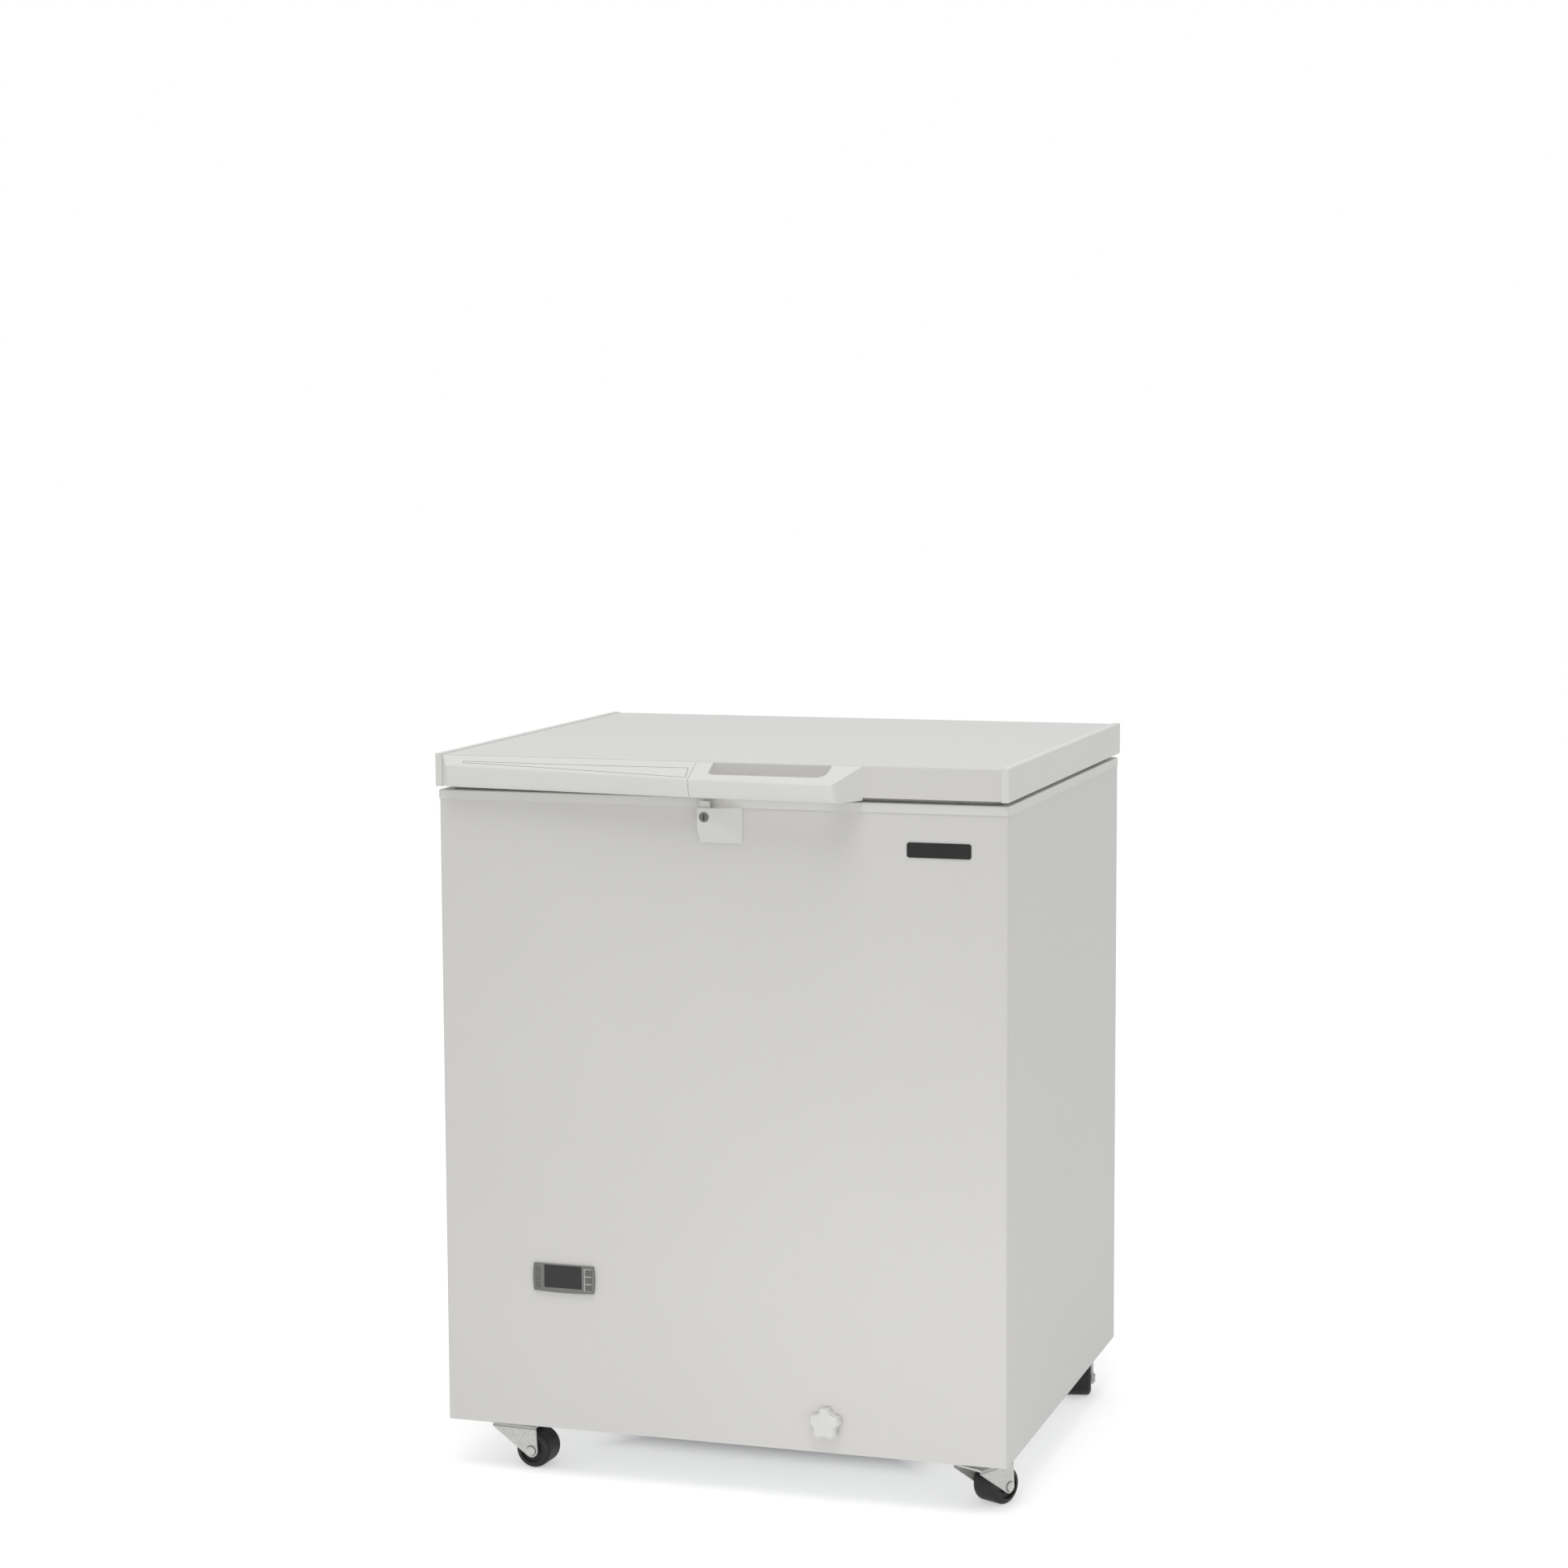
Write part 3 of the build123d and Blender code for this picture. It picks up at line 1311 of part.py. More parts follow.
keep(condenser.part, "condenser")

# Fan shroud against the condenser, with four arms that carry the motor
fan_z = machine_z + condenser_height / 2
shroud_y = condenser_front_y - shroud_sheet
rotor_back_y = shroud_y - fan_gap
rotor_front_y = rotor_back_y - fan_depth
motor_back_y = rotor_front_y - fan_gap
motor_front_y = motor_back_y - motor_length
opening_radius = fan_diameter / 2 + fan_tip_gap
arm_foot_radius = opening_radius + arm_thickness
arm_plane = upright(motor_front_y - front_y, compartment_middle_x, fan_z - base_z)
with BuildPart() as fan_shroud:
    with BuildSketch(upright(shroud_y - front_y, compartment_middle_x, fan_z - base_z)):
        Rectangle(condenser_width, condenser_height)
        Circle(opening_radius, mode=Mode.SUBTRACT)
    extrude(amount=-shroud_sheet)
    with BuildSketch(arm_plane):
        with PolarLocations(arm_foot_radius, 4, start_angle=45):
            Rectangle(arm_thickness, motor_arm_width)
    extrude(amount=motor_front_y - shroud_y)
    with BuildSketch(arm_plane):
        with PolarLocations((arm_foot_radius + motor_diameter / 2) / 2, 4, start_angle=45):
            Rectangle(arm_foot_radius - motor_diameter / 2, motor_arm_width)
        Circle(motor_diameter / 2 + arm_thickness)
        Circle(motor_diameter / 2 + motor_clamp_gap, mode=Mode.SUBTRACT)
    extrude(amount=-arm_thickness)
keep(fan_shroud.part, "fan_shroud")

# Fan motor and its shaft
with BuildPart() as fan_motor:
    with BuildSketch(arm_plane):
        Circle(motor_diameter / 2)
    extrude(amount=-motor_length)
    fillet(fan_motor.edges().filter_by(GeomType.CIRCLE), motor_diameter / 14)
    with BuildSketch(arm_plane):
        Circle(motor_shaft_diameter / 2)
    extrude(amount=motor_front_y - rotor_back_y)
keep(fan_motor.part, "fan_motor")

# Fan rotor: a hub on the shaft with pitched blades
hub_centre = Vector(compartment_middle_x, (rotor_front_y + rotor_back_y) / 2, fan_z)
with BuildPart() as fan_rotor:
    with BuildSketch(upright(rotor_front_y - front_y, compartment_middle_x, fan_z - base_z)):
        Circle(fan_hub_diameter / 2)
    extrude(amount=-fan_depth)
    for blade in range(fan_blade_count):
        turn = radians(90 + blade * 360 / fan_blade_count)
        outward = Vector(cos(turn), 0, sin(turn))
        sideways = Vector(-sin(turn), 0, cos(turn))
        stations = (
            (fan_hub_diameter / 3, fan_root_chord, fan_root_pitch),
            (fan_diameter / 2, fan_tip_chord, fan_tip_pitch),
        )
        for station_radius, chord, pitch in stations:
            chord_dir = sideways * cos(radians(pitch)) + Vector(0, sin(radians(pitch)), 0)
            with BuildSketch(
                Plane(origin=hub_centre + outward * station_radius, x_dir=chord_dir, z_dir=outward)
            ):
                Rectangle(chord, fan_blade_thickness)
        loft(ruled=True)
    with BuildSketch(upright(rotor_front_y - front_y, compartment_middle_x, fan_z - base_z)):
        Circle(motor_shaft_diameter / 2 + shaft_fit)
    extrude(amount=-fan_depth, mode=Mode.SUBTRACT)
keep(fan_rotor.part, "fan_rotor")

# Refrigerant pipes: discharge to the condenser, liquid line with its drier, and suction
lane_x = compartment_x - pipe_lane
ceiling_z = base_z + compartment_height
liquid_y = compressor_mid_y - liquid_line_forward
pipe_routes = (
    (
        (tube_right_x, condenser_mid_y, last_row_z),
        (lane_x, condenser_mid_y, last_row_z),
        (lane_x, compressor_mid_y, last_row_z),
        (lane_x, compressor_mid_y, stub_z + pipe_rise),
        (discharge_x, compressor_mid_y, stub_z + pipe_rise),
        (discharge_x, compressor_mid_y, stub_z),
    ),
    (
        (tube_right_x, condenser_mid_y, first_row_z),
        (lane_x, condenser_mid_y, first_row_z),
        (lane_x, liquid_y, first_row_z),
        (lane_x, liquid_y, ceiling_z),
    ),
)
with BuildPart() as refrigerant_pipes:
    for points in pipe_routes:
        with BuildLine() as pipe_route:
            FilletPolyline(*points, radius=pipe_bend_radius)
        with BuildSketch(Plane(origin=pipe_route.wire() @ 0, z_dir=pipe_route.wire() % 0)):
            Circle(pipe_diameter / 2)
        sweep(path=pipe_route.wire())
    with BuildSketch(Plane.XY.offset((first_row_z + ceiling_z) / 2)):
        with Locations((lane_x, liquid_y)):
            Circle(drier_diameter / 2)
    extrude(amount=drier_length / 2, both=True)
    with BuildSketch(Plane.XY.offset(stub_z)):
        with Locations((suction_x, compressor_mid_y)):
            Circle(pipe_diameter / 2)
    extrude(amount=ceiling_z - stub_z)
keep(refrigerant_pipes.part, "refrigerant_pipes")
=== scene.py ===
import json
from math import cos, pi, radians, sin

import bmesh
import bpy
from mathutils import Matrix, Vector


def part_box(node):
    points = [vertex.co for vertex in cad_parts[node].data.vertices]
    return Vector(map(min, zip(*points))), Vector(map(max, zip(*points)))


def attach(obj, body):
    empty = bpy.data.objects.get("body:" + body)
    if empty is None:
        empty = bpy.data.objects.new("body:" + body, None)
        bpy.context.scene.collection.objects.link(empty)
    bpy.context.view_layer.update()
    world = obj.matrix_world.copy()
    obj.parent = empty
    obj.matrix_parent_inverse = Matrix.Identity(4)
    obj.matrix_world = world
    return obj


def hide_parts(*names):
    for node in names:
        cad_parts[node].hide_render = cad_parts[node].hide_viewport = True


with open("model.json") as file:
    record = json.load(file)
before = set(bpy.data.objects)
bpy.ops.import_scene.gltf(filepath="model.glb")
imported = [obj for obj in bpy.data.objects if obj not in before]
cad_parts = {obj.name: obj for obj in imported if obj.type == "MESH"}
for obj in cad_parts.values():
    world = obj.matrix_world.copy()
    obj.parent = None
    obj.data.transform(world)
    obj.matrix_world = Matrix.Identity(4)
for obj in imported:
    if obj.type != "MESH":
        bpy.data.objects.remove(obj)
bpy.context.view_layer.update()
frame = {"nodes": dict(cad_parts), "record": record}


# Outer cabinet: one wrap of cold-rolled steel round the front and sides, with a back
# sheet let in behind. Both are pre-painted white, and the paint has a faint orange peel.
def principled(material):
    """The material's own shader."""
    return material.node_tree.nodes["Principled BSDF"]


def new_material(name, **sockets):
    """A material whose Principled shader has the constant values set on its own sockets."""
    material = bpy.data.materials.new(name)
    material.use_nodes = True
    for socket, value in sockets.items():
        principled(material).inputs[socket.replace("_", " ")].default_value = value
    return material


def new_group(name, inputs, outputs):
    """An empty shader node group with float inputs and outputs."""
    group = bpy.data.node_groups.new(name, "ShaderNodeTree")
    for label, value in inputs.items():
        socket = group.interface.new_socket(label, in_out="INPUT", socket_type="NodeSocketFloat")
        socket.default_value = value
    for label in outputs:
        group.interface.new_socket(label, in_out="OUTPUT", socket_type="NodeSocketFloat")
    return group, group.nodes.new("NodeGroupInput"), group.nodes.new("NodeGroupOutput")


def place_group(material, group, **values):
    """The group as a node in a material, with its own values."""
    node = material.node_tree.nodes.new("ShaderNodeGroup")
    node.node_tree = group
    for label, value in values.items():
        node.inputs[label.replace("_", " ")].default_value = value
    return node


def ramp_colour(tree, factor, low, high):
    """A colour that runs from low to high with the factor."""
    mix = tree.nodes.new("ShaderNodeMix")
    mix.data_type = "RGBA"
    mix.inputs["A"].default_value = (*low, 1)
    mix.inputs["B"].default_value = (*high, 1)
    tree.links.new(factor, mix.inputs["Factor"])
    return mix.outputs["Result"]


def ramp_value(tree, factor, low, high):
    """A number that runs from low to high with the factor."""
    spread = tree.nodes.new("ShaderNodeMapRange")
    spread.inputs["To Min"].default_value = low
    spread.inputs["To Max"].default_value = high
    tree.links.new(factor, spread.inputs["Value"])
    return spread.outputs["Result"]


def tint(material, factor, low, high):
    """A base colour that runs from low to high with the factor."""
    colour = ramp_colour(material.node_tree, factor, low, high)
    material.node_tree.links.new(colour, principled(material).inputs["Base Color"])


def roughen(material, factor, low, high):
    """A roughness that runs from low to high with the factor."""
    value = ramp_value(material.node_tree, factor, low, high)
    material.node_tree.links.new(value, principled(material).inputs["Roughness"])


def add_bump(material, height, strength, distance):
    """Relief from a height that runs from 0 to 1."""
    tree = material.node_tree
    bump = tree.nodes.new("ShaderNodeBump")
    bump.inputs["Strength"].default_value = strength
    bump.inputs["Distance"].default_value = distance
    tree.links.new(height, bump.inputs["Height"])
    tree.links.new(bump.outputs["Normal"], principled(material).inputs["Normal"])


def finish_nodes(material, *names):
    """Gives CAD nodes a material."""
    for name in names:
        node = frame["nodes"][name]
        if not node.material_slots:
            node.data.materials.append(None)
        for slot in node.material_slots:
            slot.material = material


grain_group, grain_in, grain_out = new_group(
    "surface_grain", {"Fine Scale": 800.0, "Broad Scale": 6.0}, ("Fine", "Broad")
)
grain_coords = grain_group.nodes.new("ShaderNodeTexCoord")
for label in ("Fine", "Broad"):
    grain_noise = grain_group.nodes.new("ShaderNodeTexNoise")
    grain_noise.inputs["Detail"].default_value = 3
    grain_group.links.new(grain_coords.outputs["Object"], grain_noise.inputs["Vector"])
    grain_group.links.new(grain_in.outputs[f"{label} Scale"], grain_noise.inputs["Scale"])
    grain_group.links.new(grain_noise.outputs["Fac"], grain_out.inputs[label])

enamel = new_material("white_enamel", IOR=1.5)
enamel_grain = place_group(enamel, grain_group, Fine_Scale=620.0, Broad_Scale=3.5)
tint(enamel, enamel_grain.outputs["Broad"], low=(0.70, 0.692, 0.672), high=(0.74, 0.732, 0.712))
roughen(enamel, enamel_grain.outputs["Broad"], low=0.38, high=0.48)
add_bump(enamel, enamel_grain.outputs["Fine"], strength=0.06, distance=0.0004)
finish_nodes(enamel, "outer_shell", "back_panel")

# Base panel and compartment lining: bare galvanised sheet, folded and hidden under the
# cabinet, with the faint crystal pattern that hot dipping leaves.
spangle_group, spangle_in, spangle_out = new_group(
    "zinc_spangle", {"Crystal Scale": 120.0}, ("Crystal", "Grain")
)
spangle_coords = spangle_group.nodes.new("ShaderNodeTexCoord")
spangle_cells = spangle_group.nodes.new("ShaderNodeTexVoronoi")
spangle_noise = spangle_group.nodes.new("ShaderNodeTexNoise")
spangle_noise.inputs["Scale"].default_value = 900.0
spangle_grey = spangle_group.nodes.new("ShaderNodeSeparateColor")
spangle_group.links.new(spangle_coords.outputs["Object"], spangle_cells.inputs["Vector"])
spangle_group.links.new(spangle_coords.outputs["Object"], spangle_noise.inputs["Vector"])
spangle_group.links.new(spangle_in.outputs["Crystal Scale"], spangle_cells.inputs["Scale"])
spangle_group.links.new(spangle_cells.outputs["Color"], spangle_grey.inputs["Color"])
spangle_group.links.new(spangle_grey.outputs["Red"], spangle_out.inputs["Crystal"])
spangle_group.links.new(spangle_noise.outputs["Fac"], spangle_out.inputs["Grain"])

galvanised = new_material("galvanised_sheet", Metallic=1.0)
galvanised_spangle = place_group(galvanised, spangle_group, Crystal_Scale=90.0)
tint(galvanised, galvanised_spangle.outputs["Crystal"], low=(0.50, 0.51, 0.52), high=(0.66, 0.67, 0.68))
roughen(galvanised, galvanised_spangle.outputs["Grain"], low=0.32, high=0.5)
finish_nodes(galvanised, "base_panel", "compartment_lining")

# Insulation: rigid polyurethane foam, poured between the liner and the shell and into
# the lid, cream coloured with fine closed cells.
foam = new_material("poured_foam", Roughness=0.95)
foam_grain = place_group(foam, grain_group, Fine_Scale=420.0, Broad_Scale=14.0)
tint(foam, foam_grain.outputs["Broad"], low=(0.70, 0.58, 0.32), high=(0.80, 0.70, 0.46))
add_bump(foam, foam_grain.outputs["Fine"], strength=0.5, distance=0.001)
finish_nodes(foam, "cabinet_insulation", "lid_insulation")

# Inner liner: a stepped tank of embossed aluminium sheet, bent up and riveted, with the
# orange-skin emboss that hides scratches. The condenser's fins are of the same metal.
liner = new_material("embossed_aluminium", Metallic=1.0)
liner_tree = liner.node_tree
liner_coords = liner_tree.nodes.new("ShaderNodeTexCoord")
liner_cells = liner_tree.nodes.new("ShaderNodeTexVoronoi")
liner_cells.feature = "SMOOTH_F1"
liner_cells.inputs["Scale"].default_value = 190.0
liner_tree.links.new(liner_coords.outputs["Object"], liner_cells.inputs["Vector"])
liner_grain = place_group(liner, grain_group, Fine_Scale=300.0, Broad_Scale=9.0)
tint(liner, liner_grain.outputs["Broad"], low=(0.72, 0.73, 0.74), high=(0.80, 0.81, 0.82))
roughen(liner, liner_grain.outputs["Fine"], low=0.26, high=0.4)
add_bump(liner, liner_cells.outputs["Distance"], strength=0.35, distance=0.0012)
finish_nodes(liner, "inner_liner", "condenser")

# Evaporator coil and refrigerant pipes: drawn copper tube, slightly tarnished. The coil is
# wound round the tank inside the foam, and the pipes are brazed to the machine.
copper = new_material("drawn_copper", Metallic=1.0)
copper_grain = place_group(copper, grain_group, Fine_Scale=260.0, Broad_Scale=40.0)
tint(copper, copper_grain.outputs["Broad"], low=(0.50, 0.23, 0.13), high=(0.72, 0.40, 0.27))
roughen(copper, copper_grain.outputs["Fine"], low=0.24, high=0.42)
finish_nodes(copper, "evaporator_coil", "refrigerant_pipes")

# Top frame and rear grille: white ABS mouldings, the frame snapped over the rims of the
# shell and the liner, the grille screwed over the machine compartment.
moulding = new_material("white_moulding", IOR=1.5)
moulding_grain = place_group(moulding, grain_group, Fine_Scale=1500.0, Broad_Scale=11.0)
tint(moulding, moulding_grain.outputs["Broad"], low=(0.75, 0.745, 0.715), high=(0.79, 0.785, 0.755))
roughen(moulding, moulding_grain.outputs["Fine"], low=0.36, high=0.46)
add_bump(moulding, moulding_grain.outputs["Fine"], strength=0.05, distance=0.0003)
finish_nodes(moulding, "top_frame", "rear_grille")

# Casters: pressed zinc-plated plates and forks, swivelling on a ball race, with solid
# black nylon wheels on riveted axles. Dust gathers on the treads.
zinc = new_material("zinc_plate", Metallic=0.35)
zinc_spangle = place_group(zinc, spangle_group, Crystal_Scale=420.0)
tint(zinc, zinc_spangle.outputs["Crystal"], low=(0.62, 0.62, 0.60), high=(0.70, 0.70, 0.675))
roughen(zinc, zinc_spangle.outputs["Grain"], low=0.34, high=0.5)


def combine(tree, operation, *values):
    """A maths node on shader values or plain numbers."""
    node = tree.nodes.new("ShaderNodeMath")
    node.operation = operation
    for socket, value in zip(node.inputs, values):
        if isinstance(value, float):
            socket.default_value = value
        else:
            tree.links.new(value, socket)
    return node.outputs["Value"]


dust_group, dust_in, dust_out = new_group("settled_dust", {"Patch Scale": 60.0, "Amount": 0.4}, ("Mask",))
dust_normal = dust_group.nodes.new("ShaderNodeNewGeometry")
dust_axes = dust_group.nodes.new("ShaderNodeSeparateXYZ")
dust_coords = dust_group.nodes.new("ShaderNodeTexCoord")
dust_noise = dust_group.nodes.new("ShaderNodeTexNoise")
dust_upward = dust_group.nodes.new("ShaderNodeMapRange")
dust_upward.inputs["From Min"].default_value = -0.6
dust_group.links.new(dust_normal.outputs["Normal"], dust_axes.inputs["Vector"])
dust_group.links.new(dust_axes.outputs["Z"], dust_upward.inputs["Value"])
dust_group.links.new(dust_coords.outputs["Object"], dust_noise.inputs["Vector"])
dust_group.links.new(dust_in.outputs["Patch Scale"], dust_noise.inputs["Scale"])
dust_patches = combine(dust_group, "MULTIPLY", dust_upward.outputs["Result"], dust_noise.outputs["Fac"])
dust_share = combine(dust_group, "MULTIPLY", dust_patches, dust_in.outputs["Amount"])
dust_group.links.new(dust_share, dust_out.inputs["Mask"])

nylon = new_material("black_nylon", Specular_IOR_Level=0.35)
nylon_grain = place_group(nylon, grain_group, Fine_Scale=700.0, Broad_Scale=60.0)
nylon_dust = place_group(nylon, dust_group, Patch_Scale=120.0, Amount=0.3)
tint(nylon, nylon_dust.outputs["Mask"], low=(0.014, 0.014, 0.014), high=(0.085, 0.082, 0.075))
roughen(nylon, nylon_grain.outputs["Broad"], low=0.42, high=0.62)
add_bump(nylon, nylon_grain.outputs["Fine"], strength=0.12, distance=0.0004)

# A darker band just below the fork's crown: painted shade in the press fold.
fold_shade_group, fold_in, fold_out = new_group(
    "press_fold_shade", {"Fold Height": 0.05, "Fold Width": 0.002}, ("Mask",)
)
fold_coords = fold_shade_group.nodes.new("ShaderNodeTexCoord")
fold_axes = fold_shade_group.nodes.new("ShaderNodeSeparateXYZ")
fold_edge = fold_shade_group.nodes.new("ShaderNodeMapRange")
fold_edge.interpolation_type = "SMOOTHSTEP"
fold_edge.inputs["To Min"].default_value = 1.0
fold_edge.inputs["To Max"].default_value = 0.0
fold_shade_group.links.new(fold_coords.outputs["Object"], fold_axes.inputs["Vector"])
fold_above = combine(fold_shade_group, "SUBTRACT", fold_axes.outputs["Z"], fold_in.outputs["Fold Height"])
fold_far = combine(fold_shade_group, "ABSOLUTE", fold_above)
fold_shade_group.links.new(fold_far, fold_edge.inputs["Value"])
fold_shade_group.links.new(fold_in.outputs["Fold Width"], fold_edge.inputs["From Max"])
fold_shade_group.links.new(fold_edge.outputs["Result"], fold_out.inputs["Mask"])


def marked(material, mask, ground, mark):
    """A base colour that changes from the ground to a plain mark where the mask is 1."""
    tree = material.node_tree
    mix = tree.nodes.new("ShaderNodeMix")
    mix.data_type = "RGBA"
    mix.inputs["B"].default_value = (*mark, 1)
    tree.links.new(mask, mix.inputs["Factor"])
    tree.links.new(ground, mix.inputs["A"])
    tree.links.new(mix.outputs["Result"], principled(material).inputs["Base Color"])


# The forks carry the painted shade band in the fold below the crown.
fork_zinc = new_material("pressed_fork_zinc", Metallic=0.35)
fork_spangle = place_group(fork_zinc, spangle_group, Crystal_Scale=420.0)
fork_sheet = 0.0025
fork_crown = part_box("caster_fork_front_left")[1].z
fold_drop = 1.4 * fork_sheet
fold_width = 0.7 * fork_sheet
fork_fold_shade = place_group(fork_zinc, fold_shade_group, Fold_Height=fork_crown - fold_drop, Fold_Width=fold_width)
fork_ground = ramp_colour(
    fork_zinc.node_tree,
    fork_spangle.outputs["Crystal"],
    low=(0.58, 0.58, 0.56),
    high=(0.67, 0.67, 0.645),
)
marked(fork_zinc, fork_fold_shade.outputs["Mask"], fork_ground, mark=(0.30, 0.30, 0.285))
roughen(fork_zinc, fork_spangle.outputs["Grain"], low=0.34, high=0.5)

corner_names = ("front_left", "front_right", "rear_left", "rear_right")
finish_nodes(zinc, "caster_plates")
for corner in corner_names:
    finish_nodes(fork_zinc, f"caster_fork_{corner}")
    finish_nodes(zinc, f"caster_axle_{corner}")
    finish_nodes(nylon, f"caster_wheel_{corner}")


def piece_from(name, build, material, body):
    """A new piece from a mesh that a function builds, carried by a body."""
    made = bmesh.new()
    build(made)
    bmesh.ops.recalc_face_normals(made, faces=made.faces)
    mesh = bpy.data.meshes.new(name)
    made.to_mesh(mesh)
    made.free()
    mesh.materials.append(material)
    piece = bpy.data.objects.new(name, mesh)
    bpy.context.scene.collection.objects.link(piece)
    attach(piece, body)
    return piece


def turned(made, profile, centre, axis, sides=40):
    """A turned form on an axis, from radii and heights along it."""
    axis = axis.normalized()
    across = axis.orthogonal().normalized()
    beyond = axis.cross(across)
    rings = []
    for radius, height in profile:
        ring = []
        for i in range(sides):
            angle = 2 * pi * i / sides
            spoke = cos(angle) * across + sin(angle) * beyond
            ring.append(made.verts.new(centre + axis * height + spoke * radius))
        rings.append(ring)
    for inner, outer in zip(rings, rings[1:]):
        for i in range(sides):
            j = (i + 1) % sides
            made.faces.new((inner[i], inner[j], outer[j], outer[i]))
    made.faces.new(rings[0])
    made.faces.new(rings[-1])


# Radii of the axle's peened end and of the dark ring round it, which paints the shade in
# the gap at its seat, each with its height past the axle's end.
peen_profile = (
    (0.0005, 0.00045),
    (0.0012, 0.0004),
    (0.0016, 0.00012),
    (0.0031, 0.0001),
    (0.0036, 0.0003),
    (0.0040, 0.0006),
    (0.0049, 0.00045),
    (0.0053, 0.0001),
    (0.0053, -0.0003),
)
seat_shade_profile = (
    (0.0050, -0.0017),
    (0.0061, -0.0017),
    (0.0064, -0.0019),
    (0.0064, -0.00205),
    (0.0050, -0.00205),
)
# Dark zinc for painted shade: the ring round each axle end and the screws' cross recesses.
shade_paint = new_material("painted_shade_zinc", Metallic=0.6)
shade_paint_spangle = place_group(shade_paint, spangle_group, Crystal_Scale=600.0)
tint(shade_paint, shade_paint_spangle.outputs["Crystal"], low=(0.10, 0.10, 0.095), high=(0.18, 0.18, 0.17))
roughen(shade_paint, shade_paint_spangle.outputs["Grain"], low=0.4, high=0.6)
rolls = {joint["name"]: joint for joint in frame["record"]["behaviour"]["joints"]}
for corner in corner_names:
    roll = rolls[f"roll_{corner}"]
    axle_middle = Vector(roll["pos_m"])
    axle_axis = Vector(roll["axis"])
    axle_points = frame["nodes"][f"caster_axle_{corner}"].data.vertices
    axle_half = max(axle_axis.dot(point.co - axle_middle) for point in axle_points)

    def both_ends(made, profile):
        """The turned form on each end of this axle."""
        for end in (-1, 1):
            turned(made, profile, axle_middle + end * axle_half * axle_axis, end * axle_axis)

    for piece, profile, metal in (
        ("axle_peen", peen_profile, zinc),
        ("axle_seat_shade", seat_shade_profile, shade_paint),
    ):
        piece_from(
            f"{piece}_{corner}",
            lambda made: both_ends(made, profile),
            metal,
            f"caster_fork_{corner}",
        )

# Cooling machine: a hermetic compressor in black baked enamel on rubber mounts, with a
# steel fan shroud, a shaded-pole motor and a moulded fan behind the grille.
black_enamel = new_material("black_enamel", IOR=1.5)
black_grain = place_group(black_enamel, grain_group, Fine_Scale=500.0, Broad_Scale=20.0)
black_dust = place_group(black_enamel, dust_group, Patch_Scale=35.0, Amount=0.3)
tint(black_enamel, black_dust.outputs["Mask"], low=(0.018, 0.018, 0.019), high=(0.13, 0.125, 0.115))
roughen(black_enamel, black_grain.outputs["Broad"], low=0.25, high=0.42)
add_bump(black_enamel, black_grain.outputs["Fine"], strength=0.08, distance=0.0004)
finish_nodes(black_enamel, "compressor", "fan_shroud", "fan_motor", "fan_rotor")

rubber = new_material("black_rubber")
rubber_grain = place_group(rubber, grain_group, Fine_Scale=900.0, Broad_Scale=50.0)
tint(rubber, rubber_grain.outputs["Broad"], low=(0.02, 0.02, 0.02), high=(0.05, 0.05, 0.048))
roughen(rubber, rubber_grain.outputs["Fine"], low=0.6, high=0.8)
finish_nodes(rubber, "compressor_mounts", "drain_washer")

# Lid: a folded pan of the same painted steel, foamed onto a vacuum-formed liner, with a
# soft magnetic gasket below and a moulded trim along each end.
finish_nodes(enamel, "lid_skin")
finish_nodes(moulding, "lid_liner", "lid_trim_left", "lid_trim_right")

gasket = new_material("grey_gasket")
gasket_grain = place_group(gasket, grain_group, Fine_Scale=1200.0, Broad_Scale=25.0)
tint(gasket, gasket_grain.outputs["Broad"], low=(0.56, 0.56, 0.55), high=(0.63, 0.63, 0.62))
roughen(gasket, gasket_grain.outputs["Fine"], low=0.55, high=0.7)
finish_nodes(gasket, "lid_gasket")

# Handle: a long moulded cover along the front of the lid that runs into a grip with a
# finger opening. Both are bright white ABS, clip to the lid's front edge, and have a
# front that curves under towards the hand.
bright = new_material("bright_moulding", IOR=1.5)
bright_grain = place_group(bright, grain_group, Fine_Scale=1500.0, Broad_Scale=11.0)
tint(bright, bright_grain.outputs["Broad"], low=(0.80, 0.795, 0.765), high=(0.84, 0.835, 0.805))
roughen(bright, bright_grain.outputs["Fine"], low=0.36, high=0.46)
add_bump(bright, bright_grain.outputs["Fine"], strength=0.05, distance=0.0003)

# Points along the handle's upper front edge, and the edge where its top meets the lid.
cover_left = Vector((-0.3330, -0.2989, 0.8443))
cover_right = Vector((-0.0215, -0.3140, 0.8369))
grip_right = Vector((0.1520, -0.3271, 0.8360))
cover_back = Vector((0, -0.2809, 0.8533))
handle_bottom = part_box("handle_grip")[0].z
curve_under = 0.0062
curve_power = 1.25
curve_strips = 8
fold_reach = 0.00315
fold_tightening = 0.6
crease_angle = radians(32)
weld_distance = 1e-6


def front_edge(x):
    """The point at x on the handle's upper front edge."""
    left, right = (cover_left, cover_right) if x < cover_right.x else (cover_right, grip_right)
    return left.lerp(right, (x - left.x) / (right.x - left.x))


